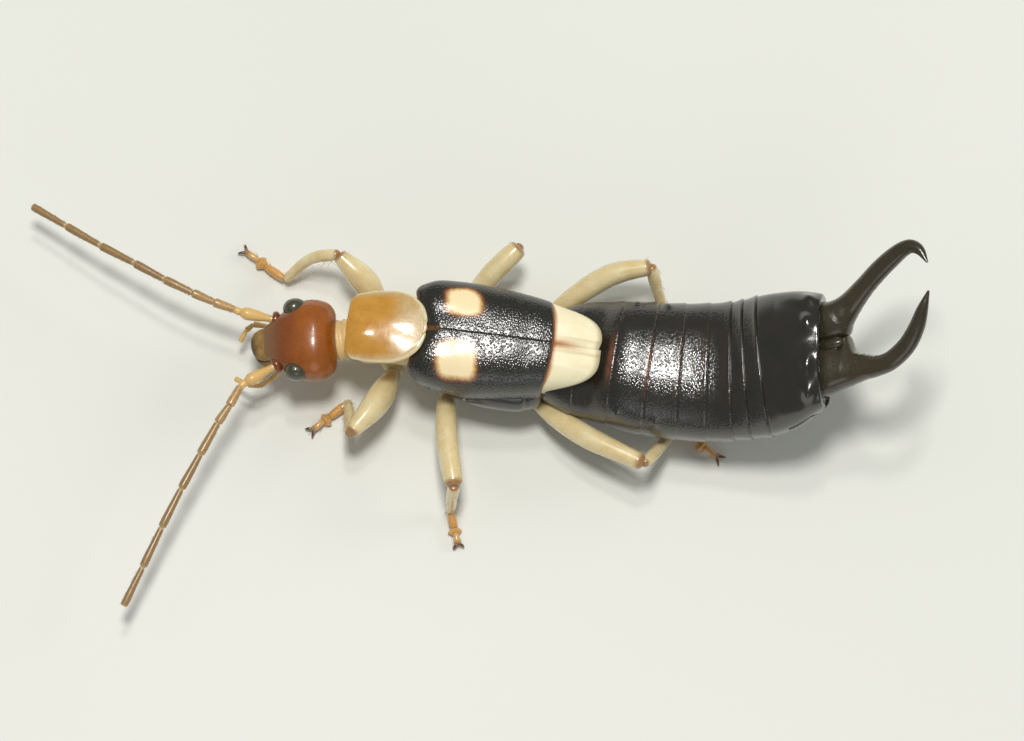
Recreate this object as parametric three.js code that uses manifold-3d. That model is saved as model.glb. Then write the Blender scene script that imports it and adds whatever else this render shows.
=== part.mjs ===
// A small forficulid earwig, male, as a still life-size model in millimetres.
// The head looks along -X, the animal's right side is +Y and its back is +Z.
// It stands on six feet on the floor, with the tail bent up and its forceps raised.
import * as THREE from "three";
import Module from "manifold-3d";

const wasm = await Module();
wasm.setup();

// Clearances between neighbouring pieces
const JOINT_GAP = 0.2;
const SNUG_GAP = 0.12;

// Heights over the floor
const BACK_TOP = 3.2;
const HEAD_MIDDLE = 1.9;
const FEELER_SOCKET = 1.85;
const HIP_HEIGHT = 0.85;
const FOOT_HEIGHT = 0.2;

// Head, measured from the neck forward
const HEAD_LENGTH = 1.85;
const HEAD_HALF_WIDTH = 1.14;
const HEAD_TURN = 8.4;
const HEAD_BACK = { x: -5.44, y: -0.36 };
const EYE = { forward: 1.11, out: 0.88, up: 0.14, long: 0.27, wide: 0.24, tall: 0.3 };

// Shields, wing cases and wing tips
const PRONOTUM = { front: -5.17, back: -3.3, halfWidth: 1.0, thick: 0.42 };
const WING_CASE = { front: -3.48, back: 0.2, halfWidth: 1.46, thick: 0.5, droop: 0.66 };
const WING_TIP = { front: 0.42, back: 1.6, halfWidth: 1.22, thick: 0.5, droop: 0.42 };
const SUTURE_GAP = 0.24;

// Hind body: stations along its middle line, from the waist to the root of the forceps
const HIND_BODY = [
  { x: 0.4, y: 0.02, z: 1.5, side: 1.3, up: 0.75, down: 0.78 },
  { x: 1.6, y: 0.03, z: 1.6, side: 1.66, up: 0.88, down: 0.92 },
  { x: 2.1, y: 0.0, z: 1.75, side: 1.71, up: 1.12, down: 1.05 },
  { x: 3.0, y: -0.05, z: 1.8, side: 1.8, up: 1.16, down: 1.1 },
  { x: 3.9, y: -0.04, z: 1.87, side: 1.85, up: 1.16, down: 1.12 },
  { x: 4.6, y: 0.0, z: 2.0, side: 1.87, up: 1.14, down: 1.1 },
  { x: 5.3, y: 0.07, z: 2.22, side: 1.86, up: 1.12, down: 1.08 },
  { x: 5.9, y: 0.17, z: 2.52, side: 1.86, up: 1.1, down: 1.05 },
  { x: 6.5, y: 0.3, z: 2.92, side: 1.82, up: 1.06, down: 1.0 },
  { x: 7.05, y: 0.43, z: 3.32, side: 1.72, up: 0.98, down: 0.9 },
  { x: 7.56, y: 0.54, z: 3.68, side: 1.52, up: 0.84, down: 0.74 },
];
const RING_EDGES = [0.4, 0.99, 2.01, 2.95, 3.78, 4.48, 5.09, 5.44, 5.84, 7.56];
const RING_STEP = 0.05;

// Forceps: middle line and half width of each arm, root to tip
const RIGHT_ARM = [
  { x: 7.6, y: 1.2, z: 3.76, r: 0.46 },
  { x: 7.84, y: 1.41, z: 3.95, r: 0.42 },
  { x: 8.08, y: 1.79, z: 4.2, r: 0.33 },
  { x: 8.38, y: 2.22, z: 4.6, r: 0.27 },
  { x: 8.69, y: 2.59, z: 4.95, r: 0.25 },
  { x: 9.0, y: 2.91, z: 5.25, r: 0.25 },
  { x: 9.27, y: 3.12, z: 5.5, r: 0.24 },
  { x: 9.49, y: 3.18, z: 5.64, r: 0.22 },
  { x: 9.71, y: 3.06, z: 5.75, r: 0.17 },
  { x: 9.93, y: 2.75, z: 5.84, r: 0.05 },
];
const LEFT_ARM = [
  { x: 7.62, y: -0.1, z: 3.62, r: 0.52 },
  { x: 7.84, y: -0.05, z: 3.75, r: 0.56 },
  { x: 8.18, y: 0.04, z: 3.95, r: 0.52 },
  { x: 8.57, y: 0.09, z: 4.2, r: 0.4 },
  { x: 8.93, y: 0.08, z: 4.45, r: 0.29 },
  { x: 9.3, y: 0.23, z: 4.75, r: 0.27 },
  { x: 9.66, y: 0.61, z: 5.05, r: 0.27 },
  { x: 9.86, y: 1.07, z: 5.35, r: 0.25 },
  { x: 9.95, y: 1.5, z: 5.6, r: 0.19 },
  { x: 10.05, y: 1.98, z: 5.85, r: 0.05 },
];

// Legs: root, hip, knee, ankle and claw as [x, y, z], with the thickness of each length.
// The hip, heel and claw take their height from the constants above.
const LEG_THICK = { coxa: 0.56, femur: 0.62, tibia: 0.5, tarsus: 0.42 };
const LEGS = {
  front_left: { root: [-4.1, -0.42, 0.8], hip: [-3.72, -0.84], knee: [-4.78, -2.82, 1.7],
    ankle: [-4.96, -1.63, 0.34], heel: [-5.06, -1.69], claw: [-5.9, -2.56] },
  front_right: { root: [-4.15, 0.42, 0.8], hip: [-4.35, 1.05], knee: [-5.69, 2.05, 1.7],
    ankle: [-6.92, 1.54, 0.34], heel: [-7.07, 1.58], claw: [-8.24, 2.32] },
  middle_left: { root: [-2.45, -0.5, 0.8], hip: [-2.38, -1.05], knee: [-1.84, -3.93, 1.75],
    ankle: [-1.86, -4.24, 0.34], heel: [-1.84, -4.36], claw: [-1.52, -5.2] },
  middle_right: { root: [-2.4, 0.5, 0.8], hip: [-2.15, 1.2], knee: [-0.87, 2.87, 1.75],
    ankle: [-1.6, 2.1, 0.34], heel: [-1.7, 2.04], claw: [-2.5, 1.78] },
  hind_left: { root: [-0.5, -0.5, 0.8], hip: [0.0, -1.12], bow: [1.5, -2.05, 1.3],
    knee: [3.13, -2.66, 1.75], ankle: [3.91, -1.13, 0.34], heel: [4.03, -1.2],
    claw: [5.23, -1.95] },
  hind_right: { root: [-0.5, 0.5, 0.8], hip: [0.1, 1.3], bow: [1.56, 2.42, 1.45],
    knee: [2.7, 2.74, 1.85], ankle: [3.33, 1.69, 0.34], heel: [3.4, 1.6], claw: [4.2, 0.9] },
};

// Feelers: places of some joints from the socket outward, and the length of a ring
const FEELERS = {
  left: [[-6.99, -1.3, FEELER_SOCKET], [-7.72, -1.82, 1.9], [-8.3, -3.02, 1.85],
    [-9.07, -4.89, 1.7], [-9.83, -7.09, 1.45], [-10.21, -8.19, 1.3]],
  right: [[-7.15, 0.04, FEELER_SOCKET], [-8.1, 0.07, 1.95], [-9.43, 0.43, 2.0],
    [-11.08, 1.09, 1.8], [-12.61, 1.77, 1.55], [-14.04, 2.46, 1.3]],
};
const FEELER = { scape: 0.5, root: 0.5, tip: 0.36, rings: 12 };
const PALPS = {
  left: [[-6.78, -1.2, 1.05], [-7.41, -1.67, 0.9], [-7.95, -1.55, 0.85]],
  right: [[-7.2, -0.2, 1.05], [-7.75, 0.02, 0.9], [-8.05, -0.45, 0.85]],
};
const PALP_THICK = 0.42;

const UP = new THREE.Vector3(0, 0, 1);

function material(color, roughness) {
  return new THREE.MeshStandardMaterial({ color, roughness, metalness: 0 });
}

const AMBER = material(0x8a3212, 0.3);
const MOUTH = material(0x7a5a40, 0.4);
const EYE_BLACK = material(0x14170f, 0.25);
const FEELER_BROWN = material(0x7d5326, 0.45);
const HONEY = material(0xd08a3a, 0.35);
const WING_CASE_BLACK = material(0x120e0c, 0.25);
const IVORY = material(0xe8dcb4, 0.4);
const BODY_BLACK = material(0x140f0d, 0.2);
const FORCEPS_BLACK = material(0x1a0d0a, 0.2);
const STRAW = material(0xdcb878, 0.4);

/** Signed power, which squares a round section as the power falls below one. */
function bent(value, power) {
  return Math.sign(value) * Math.abs(value) ** power;
}

/** One closed body: rings of equal count joined in order, with a point at each end. */
function bodyOfRings(rings) {
  const sides = rings[0].length;
  const middles = [rings[0], rings.at(-1)].map((ring) =>
    ring.reduce((sum, p) => sum.add(p), new THREE.Vector3()).divideScalar(sides),
  );
  const points = [...rings.flat(), ...middles];
  const firstMiddle = rings.length * sides;
  const faces = [];
  for (let i = 0; i < rings.length - 1; i++) {
    for (let j = 0; j < sides; j++) {
      const a = i * sides + j;
      const b = i * sides + ((j + 1) % sides);
      faces.push(a, b, b + sides, a, b + sides, a + sides);
    }
  }
  for (let j = 0; j < sides; j++) {
    const next = (j + 1) % sides;
    const last = firstMiddle - sides;
    faces.push(firstMiddle, next, j, firstMiddle + 1, last + j, last + next);
  }
  return solidOf(points, faces);
}

/** A manifold solid from points and triangles, turned so that its faces point outward. */
function solidOf(points, faces) {
  const vertProperties = new Float32Array(points.flatMap((p) => p.toArray()));
  const triVerts = new Uint32Array(faces);
  const made = new wasm.Manifold(new wasm.Mesh({ numProp: 3, vertProperties, triVerts }));
  if (made.volume() > 0) return made;
  for (let i = 0; i < triVerts.length; i += 3) {
    [triVerts[i + 1], triVerts[i + 2]] = [triVerts[i + 2], triVerts[i + 1]];
  }
  return new wasm.Manifold(new wasm.Mesh({ numProp: 3, vertProperties, triVerts }));
}

/**
 * A body along a path: at each place along it, an upright section of the given half
 * sizes. Growing it by some amount pushes its whole surface outward by that much.
 */
function roll(path, sizeAt, { places, sides = 20, square = 1, lowest = -Infinity }, grow) {
  const rings = places.map((t, i) => {
    const centre = path.getPoint(t);
    const along = path.getTangent(t);
    const across = UP.clone().cross(along).normalize();
    const over = along.clone().cross(across);
    if (i === 0) centre.addScaledVector(along, -grow);
    if (i === places.length - 1) centre.addScaledVector(along, grow);
    const { side, up, down } = sizeAt(t);
    return Array.from({ length: sides }, (_, j) => {
      const angle = (2 * Math.PI * (j + 0.5)) / sides;
      const outward = bent(Math.cos(angle), square) * (side + grow);
      const height = bent(Math.sin(angle), square);
      const upward = height * (height > 0 ? up + grow : down + grow);
      const point = centre.clone().addScaledVector(across, outward);
      point.addScaledVector(over, upward);
      point.z = Math.max(point.z, lowest);
      return point;
    });
  });
  return bodyOfRings(rings);
}

/** Evenly spread places along a path, with closer ones at both ends to round them. */
function roundedPlaces(count, reach = 0.08) {
  const middle = Array.from({ length: count }, (_, i) => reach + ((1 - 2 * reach) * i) / (count - 1));
  return [0, reach * 0.35, ...middle, 1 - reach * 0.35, 1];
}

/** How much of its full size a rounded body has at a place near either end. */
function roundedEnd(t, reach = 0.08, blunt = 0.55) {
  const near = Math.min(t, 1 - t) / reach;
  return near >= 1 ? 1 : blunt + (1 - blunt) * Math.sqrt(1 - (1 - near) ** 2);
}

function curve(points) {
  return new THREE.CatmullRomCurve3(points.map((p) => new THREE.Vector3(...p)));
}

/** Values blended smoothly between stations that are spread evenly over the path. */
function blended(values) {
  const line = new THREE.CatmullRomCurve3(values.map((v) => new THREE.Vector3(...v)));
  return (t) => line.getPoint(t);
}

/**
 * A round limb from one joint to the next: its half thickness at start, middle and end,
 * with blunt rounded ends.
 */
function limb(points, [start, middle, end], options, grow) {
  const path = curve(points);
  const sizeAt = (t) => {
    const early = start + (middle - start) * Math.sin(Math.min(t * 2, 1) * (Math.PI / 2));
    const late = end + (middle - end) * Math.cos(Math.max(t * 2 - 1, 0) * (Math.PI / 2));
    const r = (t < 0.5 ? early : late) * roundedEnd(t);
    return { side: r, up: r, down: r };
  };
  const count = Math.max(3, points.length * 2 - 1);
  return roll(path, sizeAt, { places: roundedPlaces(count), sides: 10, ...options }, grow);
}

/**
 * A curved plate of even thickness: its top surface as a function of two shares, one
 * along the body and one across it, split into triangles alike on both faces.
 */
function plate(topAt, thickAt, rows, columns, grow) {
  const top = [];
  const bottom = [];
  const side = (u, v, du, dv) =>
    topAt(u + du, v + dv).sub(topAt(u - du, v - dv)).setZ(0).normalize();
  for (let i = 0; i <= rows; i++) {
    for (let j = 0; j <= columns; j++) {
      const u = i / rows;
      const v = j / columns;
      const p = topAt(u, v);
      const along = side(THREE.MathUtils.clamp(u, 0.01, 0.99), v, 0.01, 0);
      const across = side(u, THREE.MathUtils.clamp(v, 0.01, 0.99), 0, 0.01);
      if (i === 0) p.addScaledVector(along, -grow);
      if (i === rows) p.addScaledVector(along, grow);
      if (j === 0) p.addScaledVector(across, -grow);
      if (j === columns) p.addScaledVector(across, grow);
      top.push(p.clone().setZ(p.z + grow));
      bottom.push(p.clone().setZ(p.z - thickAt(u, v) - grow));
    }
  }
  const width = columns + 1;
  const under = top.length;
  const faces = [];
  const quad = (a, b, c, d) => faces.push(a, b, c, a, c, d);
  for (let i = 0; i < rows; i++) {
    for (let j = 0; j < columns; j++) {
      const a = i * width + j;
      const b = a + 1;
      const c = b + width;
      const d = a + width;
      quad(a, d, c, b);
      faces.push(a + under, c + under, d + under, a + under, b + under, c + under);
    }
  }
  for (let j = 0; j < columns; j++) {
    const last = rows * width + j;
    quad(j, j + 1, j + 1 + under, j + under);
    quad(last + 1, last, last + under, last + 1 + under);
  }
  for (let i = 0; i < rows; i++) {
    const a = i * width;
    const b = a + columns;
    quad(a + width, a, a + under, a + width + under);
    quad(b, b + width, b + width + under, b + under);
  }
  return solidOf([...top, ...bottom], faces);
}

/** Moves a solid from the head's own frame, whose origin is the neck, to the body's. */
function placedHead(solid) {
  return solid.rotate([0, 0, HEAD_TURN]).translate([HEAD_BACK.x, HEAD_BACK.y, HEAD_MIDDLE]);
}

// Head: a swollen heart shape, broadest behind the eyes and narrow at the mouth
function head(grow) {
  const shares = [
    [0.5, 0.42, 0.4], [0.88, 0.78, 0.8], [1.0, 1.0, 1.0], [0.97, 0.98, 1.0],
    [0.82, 0.88, 0.92], [0.62, 0.68, 0.78], [0.38, 0.4, 0.55],
  ];
  const sizes = blended(shares);
  const path = curve([[0, 0, 0], [-HEAD_LENGTH / 2, 0, 0], [-HEAD_LENGTH, 0, -0.12]]);
  const sizeAt = (t) => {
    const share = sizes(t);
    return { side: HEAD_HALF_WIDTH * share.x, up: 0.72 * share.y, down: 0.62 * share.z };
  };
  const places = [0, 0.04, 0.12, 0.22, 0.36, 0.5, 0.64, 0.78, 0.9, 1];
  return placedHead(roll(path, sizeAt, { places, sides: 28, square: 0.9 }, grow));
}

// Mouthparts: upper lip over the jaws, set before the head
function mouthparts(grow) {
  const path = curve([[-1.6, -0.04, -0.3], [-2.0, -0.08, -0.26], [-2.28, -0.1, -0.3]]);
  const sizeAt = (t) => {
    const narrowing = 1 - 0.45 * t ** 2.5;
    return { side: 0.52 * narrowing, up: 0.28 * narrowing, down: 0.34 * narrowing };
  };
  return placedHead(roll(path, sizeAt, { places: [0, 0.3, 0.6, 0.85, 1], sides: 16 }, grow));
}

/** An eye: a bulging ellipsoid on the side of the head. */
function eye(side, grow) {
  const ball = new THREE.SphereGeometry(1, 16, 10);
  const position = ball.getAttribute("position");
  const sizes = [EYE.long + grow, EYE.wide + grow, EYE.tall + grow];
  const rings = [];
  const columns = 16;
  for (let row = 1; row < 10; row++) {
    const ring = [];
    for (let column = 0; column < columns; column++) {
      const p = new THREE.Vector3().fromBufferAttribute(position, row * (columns + 1) + column);
      ring.push(p.multiply(new THREE.Vector3(...sizes)));
    }
    rings.push(ring);
  }
  const solid = bodyOfRings(rings).translate([-EYE.forward, side * EYE.out, EYE.up]);
  return placedHead(solid);
}

function scape(points, grow) {
  const [from, to] = points;
  return limb([from, to], [0.2, FEELER.scape / 2, 0.25], {}, grow);
}

/** The ringed whip of a feeler: each ring swells a little towards its far end. */
function flagellum(points, grow) {
  const path = curve(points.slice(1));
  const places = [];
  for (let i = 0; i < FEELER.rings; i++) {
    const start = i / FEELER.rings;
    places.push(start, start + 0.55 / FEELER.rings, start + 0.9 / FEELER.rings);
  }
  places.push(1);
  const sizeAt = (t) => {
    const within = (t * FEELER.rings) % 1;
    const swell = 0.86 + 0.14 * Math.sin(within * Math.PI * 0.8);
    const taper = FEELER.root + (FEELER.tip - FEELER.root) * t;
    const blunt = t > 0.985 ? 0.5 : 1;
    const r = (taper / 2) * swell * blunt;
    return { side: r, up: r, down: r };
  };
  return roll(path, sizeAt, { places, sides: 8 }, grow);
}

function palp(points, grow) {
  return limb(points, [PALP_THICK / 2, PALP_THICK / 2, PALP_THICK / 3], { sides: 10 }, grow);
}

function neck(grow) {
  return limb([[-5.6, -0.37, 1.62], [-4.6, -0.16, 1.62]], [0.42, 0.4, 0.42], { sides: 14 }, grow);
}

// Pronotum: a rounded shield, arched across, with its hind edge drawn back in a curve
function pronotum(grow) {
  const middle = (PRONOTUM.front + PRONOTUM.back) / 2;
  const half = (PRONOTUM.back - PRONOTUM.front) / 2;
  const widths = blended([[0.7, 0, 0], [0.93, 0, 0], [1, 0, 0], [0.94, 0, 0], [0.62, 0, 0]]);
  const topAt = (u, v) => {
    const share = 2 * v - 1;
    const along = 2 * u - 1;
    const edge = u > 0.5 ? (1 - share ** 2) * 0.16 * (2 * u - 1) : 0;
    const y = -0.06 + 0.05 * along + share * PRONOTUM.halfWidth * widths(u).x;
    const z = 2.72 + 0.24 * Math.sin(u * 2.1) - 0.3 * share ** 2;
    return new THREE.Vector3(middle + along * half + edge, y, z);
  };
  const thickAt = (u, v) => PRONOTUM.thick * (1 - 0.25 * (2 * v - 1) ** 4);
  return plate(topAt, thickAt, 10, 12, grow);
}

function prothorax(grow) {
  const path = curve([[-5.0, -0.16, 1.6], [-4.2, -0.06, 1.6], [-3.35, 0, 1.6]]);
  const sizeAt = (t) => {
    const round = roundedEnd(t, 0.2, 0.7);
    return { side: 0.72 * round, up: 0.55 * round, down: 0.45 * round };
  };
  return roll(path, sizeAt, { places: [0, 0.08, 0.2, 0.5, 0.8, 0.92, 1], sides: 18 }, grow);
}

function thorax(grow) {
  const path = curve([[-3.15, 0, 1.6], [-1.5, 0, 1.5], [0.12, 0, 1.5]]);
  const sizes = blended([[0.8, 0.6, 0.45], [1.25, 0.75, 0.5], [1.55, 0.8, 0.5], [1.64, 0.8, 0.5],
    [1.5, 0.76, 0.55]]);
  const sizeAt = (t) => ({ side: sizes(t).x, up: sizes(t).y, down: sizes(t).z });
  const places = [0, 0.1, 0.25, 0.4, 0.55, 0.7, 0.85, 1];
  return roll(path, sizeAt, { places, sides: 24, square: 0.9 }, grow);
}

/** The arched back: height over the floor at a distance from the middle line. */
function backHeight(y, halfWidth, droop) {
  return BACK_TOP - droop * Math.min(Math.abs(y) / halfWidth, 1.1) ** 2.5;
}

// Wing cases: two arched plates that meet along the middle of the back
function wingCase(side, grow) {
  const widths = blended([[0.94, 0, 0], [1.02, 0, 0], [1.03, 0, 0], [1, 0, 0], [0.94, 0, 0],
    [0.85, 0, 0]]);
  const shoulderAt = 0.75;
  const length = WING_CASE.back - WING_CASE.front;
  const topAt = (u, v) => {
    const inner = SUTURE_GAP / 2;
    const outer = WING_CASE.halfWidth * widths(u).x;
    const y = inner + (outer - inner) * v;
    const inwards = 0.4 * Math.max(1 - v / shoulderAt, 0) ** 1.3;
    const outwards = Math.max(v - shoulderAt, 0) / (1 - shoulderAt);
    const corner = 0.62 * (1 - Math.sqrt(1 - outwards ** 2));
    const shoulder = (inwards + corner) * (1 - u) ** 2 - 0.1 * v ** 3 * u;
    const fall = 0.12 * (1 - u) ** 2 + 0.06 * u ** 3;
    const z = backHeight(y, WING_CASE.halfWidth, WING_CASE.droop) - fall;
    return new THREE.Vector3(WING_CASE.front + length * u + shoulder, side * y, z);
  };
  const thickAt = () => WING_CASE.thick;
  return plate(topAt, thickAt, 14, 12, grow);
}

// Wing tips: the folded hind wings that show behind the wing cases, with a raised vein
function wingTip(side, grow) {
  const length = WING_TIP.back - WING_TIP.front;
  const topAt = (u, v) => {
    const inner = SUTURE_GAP / 2;
    const outer = WING_TIP.halfWidth * (1 - 0.06 * u) ** 2;
    const y = inner + (outer - inner) * v;
    const tip = length * u * (1 - 0.62 * v ** 3);
    const vein = 0.05 * Math.exp(-(((v - 0.45) / 0.08) ** 2));
    const z = backHeight(y, WING_TIP.halfWidth, WING_TIP.droop) - 0.08 - 0.08 * u + vein;
    return new THREE.Vector3(WING_TIP.front + tip, side * y, z);
  };
  const thickAt = () => WING_TIP.thick;
  return plate(topAt, thickAt, 7, 16, grow);
}

/** A length of the hind body between two places on X, ringed by its overlapping plates. */
function hindBody(from, to, roundEnd, grow) {
  const path = new THREE.CatmullRomCurve3(
    HIND_BODY.map((s) => new THREE.Vector3(s.x, s.y, s.z)),
    false,
    "catmullrom",
  );
  const sizes = blended(HIND_BODY.map((s) => [s.side, s.up, s.down]));
  const last = HIND_BODY.length - 1;
  const placeOf = (x) => {
    const i = Math.min(HIND_BODY.findLastIndex((s) => s.x <= x), last - 1);
    const here = HIND_BODY[i];
    return (i + (x - here.x) / (HIND_BODY[i + 1].x - here.x)) / last;
  };
  const edges = RING_EDGES.filter((x) => x > from + 0.1 && x < to - 0.1);
  const stops = [from, ...edges, to];
  const marks = [];
  for (let i = 0; i < stops.length - 1; i++) {
    const [a, b] = [stops[i], stops[i + 1]];
    const start = RING_EDGES.findLast((x) => x <= a + 0.1) ?? a;
    const end = RING_EDGES.find((x) => x >= b - 0.1) ?? b;
    const pieces = Math.max(2, Math.round((b - a) / 0.35));
    for (let k = 0; k <= pieces; k++) {
      const x = a + 0.02 + ((b - a - 0.04) * k) / pieces;
      marks.push({ t: placeOf(x), step: (RING_STEP * (x - start)) / (end - start), x });
    }
  }
  const sizeAt = (t) => {
    const mark = marks.find((m) => m.t === t);
    const s = sizes(t);
    const closing = roundEnd ? roundedEnd(0.5 + (mark.x - from) / (2 * (to - from)), 0.06, 0.86) : 1;
    const step = mark.step;
    return {
      side: (s.x + step) * closing,
      up: (s.y + step) * closing,
      down: (s.z + step) * closing,
    };
  };
  return roll(path, sizeAt, { places: marks.map((m) => m.t), sides: 30, square: 0.92 }, grow);
}

const FRONT_END = 3.78;
const REAR_END = 5.84;

/** One arm of the forceps, drawn out to a fine tip. */
function forcepsArm(stations, grow) {
  const path = curve(stations.map((s) => [s.x, s.y, s.z]));
  const widths = blended(stations.map((s) => [s.r, 0, 0]));
  const count = (stations.length - 1) * 3;
  const places = Array.from({ length: count + 1 }, (_, i) => i / count);
  const sizeAt = (t) => {
    const r = widths(t).x;
    return { side: r, up: r * 0.92, down: r * 0.92 };
  };
  return roll(path, sizeAt, { places, sides: 14 }, grow);
}

/** The inner tooth at the root of the left arm. */
function leftArm(grow) {
  const tooth = limb([[8.1, 0.3, 4.0], [8.24, 0.84, 4.25]], [0.3, 0.26, 0.12], { sides: 10 }, grow);
  return forcepsArm(LEFT_ARM, grow).add(tooth);
}

function pygidium(grow) {
  return limb([[7.3, 0.62, 3.95], [7.92, 0.72, 4.4]], [0.22, 0.24, 0.16], { sides: 12 }, grow);
}

function coxa(leg, grow) {
  const [x, y] = leg.hip;
  return limb([leg.root, [x, y, HIP_HEIGHT]], [0.24, LEG_THICK.coxa / 2, 0.25], {}, grow);
}

function femur(leg, grow) {
  const [x, y] = leg.hip;
  const bow = leg.bow ? [leg.bow] : [];
  const points = [[x, y, HIP_HEIGHT], ...bow, leg.knee];
  return limb(points, [0.26, LEG_THICK.femur / 2, 0.25], {}, grow);
}

function tibia(leg, grow) {
  return limb([leg.knee, leg.ankle], [0.25, LEG_THICK.tibia / 2, 0.22], {}, grow);
}

/** The foot: three lengths, the second broad, and two claws that spread at the tip. */
function tarsus(leg, grow) {
  const heel = new THREE.Vector3(...leg.heel, FOOT_HEIGHT);
  const claw = new THREE.Vector3(...leg.claw, FOOT_HEIGHT);
  const at = (share) => heel.clone().lerp(claw, share);
  const path = new THREE.CatmullRomCurve3([at(0), at(0.5), at(0.88)]);
  const half = LEG_THICK.tarsus / 2;
  const widths = [[0, 0.9], [0.08, 1.05], [0.42, 0.95], [0.5, 0.8], [0.58, 1.15], [0.7, 1.1],
    [0.76, 0.75], [0.9, 0.85], [1, 0.6]];
  const sizeAt = (t) => {
    const share = widths.find(([place]) => place === t)[1];
    return { side: half * share, up: half * share * 0.9, down: FOOT_HEIGHT * 1.15 };
  };
  const places = widths.map(([place]) => place);
  let foot = roll(path, sizeAt, { places, sides: 12, lowest: -grow }, grow);
  const along = claw.clone().sub(heel).normalize();
  const across = UP.clone().cross(along);
  for (const side of [-1, 1]) {
    const root = at(0.8).addScaledVector(across, side * 0.04);
    const bend = at(0.94).addScaledVector(across, side * 0.13);
    const tip = at(1).addScaledVector(across, side * 0.12).setZ(0.07);
    const hook = [root.toArray(), bend.toArray(), tip.toArray()];
    const options = { sides: 6, places: [0, 0.3, 0.6, 0.85, 1], lowest: -grow };
    foot = foot.add(limb(hook, [0.1, 0.08, 0.05], options, grow));
  }
  return foot;
}

// Every piece with its material, the pieces it is cut clear of, and how far
const pieces = new Map();

function piece(name, make, finish, clearOf = [], gap = JOINT_GAP) {
  pieces.set(name, { make, finish, clearOf, gap });
}

piece("eye_left", (g) => eye(-1, g), EYE_BLACK);
piece("eye_right", (g) => eye(1, g), EYE_BLACK);
piece("pronotum", pronotum, HONEY);
piece("head", head, AMBER, ["eye_left", "eye_right"], SNUG_GAP);
piece("mouthparts", mouthparts, MOUTH, ["head"]);
piece("prothorax", prothorax, HONEY, ["pronotum"]);
piece("neck", neck, HONEY, ["head", "pronotum", "prothorax"]);
for (const [side, points] of Object.entries(FEELERS)) {
  piece(`scape_${side}`, (g) => scape(points, g), HONEY, ["head", `eye_${side}`]);
  piece(`feeler_${side}`, (g) => flagellum(points, g), FEELER_BROWN, [`scape_${side}`, "head"]);
}
for (const [side, points] of Object.entries(PALPS)) {
  piece(`palp_${side}`, (g) => palp(points, g), HONEY, ["head", "mouthparts", `scape_${side}`]);
}
piece("wing_case_left", (g) => wingCase(-1, g), WING_CASE_BLACK, ["pronotum"]);
piece("wing_case_right", (g) => wingCase(1, g), WING_CASE_BLACK, ["pronotum"]);
piece("wing_left", (g) => wingTip(-1, g), IVORY, ["wing_case_left"]);
piece("wing_right", (g) => wingTip(1, g), IVORY, ["wing_case_right"]);
piece("thorax", thorax, BODY_BLACK, ["wing_case_left", "wing_case_right", "prothorax", "pronotum"]);
piece("abdomen_front", (g) => hindBody(HIND_BODY[0].x, FRONT_END, false, g), BODY_BLACK,
  ["wing_left", "wing_right", "thorax"]);
piece("abdomen_rear", (g) => hindBody(FRONT_END + JOINT_GAP, REAR_END, false, g), BODY_BLACK);
piece("abdomen_tip", (g) => hindBody(REAR_END + JOINT_GAP, HIND_BODY.at(-1).x, true, g), BODY_BLACK);
piece("pygidium", pygidium, FORCEPS_BLACK, ["abdomen_tip"], SNUG_GAP);
piece("forceps_right", (g) => forcepsArm(RIGHT_ARM, g), FORCEPS_BLACK, ["abdomen_tip", "pygidium"],
  SNUG_GAP);
piece("forceps_left", leftArm, FORCEPS_BLACK, ["abdomen_tip", "pygidium"], SNUG_GAP);
for (const [place, leg] of Object.entries(LEGS)) {
  const bearer = place.startsWith("front") ? "prothorax" : "thorax";
  piece(`coxa_${place}`, (g) => coxa(leg, g), STRAW, [bearer, "abdomen_front"]);
  piece(`femur_${place}`, (g) => femur(leg, g), STRAW, [`coxa_${place}`, bearer, "abdomen_front"]);
  piece(`tibia_${place}`, (g) => tibia(leg, g), STRAW, [`femur_${place}`]);
  piece(`tarsus_${place}`, (g) => tarsus(leg, g), STRAW, [`tibia_${place}`]);
}

/** The largest closed surface of a solid, with its slivers merged away. */
function largest(solid) {
  const bodies = solid.decompose().sort((a, b) => b.volume() - a.volume());
  return bodies[0].simplify(0.003);
}

function geometryOf(solid) {
  const { vertProperties, triVerts } = solid.getMesh();
  const geometry = new THREE.BufferGeometry();
  geometry.setAttribute("position", new THREE.BufferAttribute(vertProperties, 3));
  geometry.setIndex(new THREE.BufferAttribute(triVerts, 1));
  geometry.computeVertexNormals();
  return geometry;
}

const earwig = new THREE.Group();
earwig.name = "earwig";
for (const [name, { make, finish, clearOf, gap }] of pieces) {
  let solid = make(0);
  for (const other of clearOf) solid = solid.subtract(pieces.get(other).make(gap));
  const mesh = new THREE.Mesh(geometryOf(largest(solid)), finish);
  mesh.name = name;
  earwig.add(mesh);
}

// The origin lies under the middle of the whole animal's box, on the floor
const box = new THREE.Box3().setFromObject(earwig);
const middle = box.getCenter(new THREE.Vector3());
earwig.children.forEach((mesh) => mesh.position.set(-middle.x, -middle.y, -box.min.z));

export default earwig;
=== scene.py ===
"""A small male earwig, dressed over its solids: glossy shells, soft skin, faceted eyes,
ringed feelers, jointed legs and raised forceps, on a pale floor under soft studio light.

Places below are in millimetres of the animal's own frame: the head looks along -X, its
right side is +Y, its back is +Z and the floor is at 0. They are moved onto the solids by
the place of one eye, and turned into metres.
"""
import functools
import math

import bmesh
import bpy
import numpy as np
from mathutils import Matrix, Vector


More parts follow.
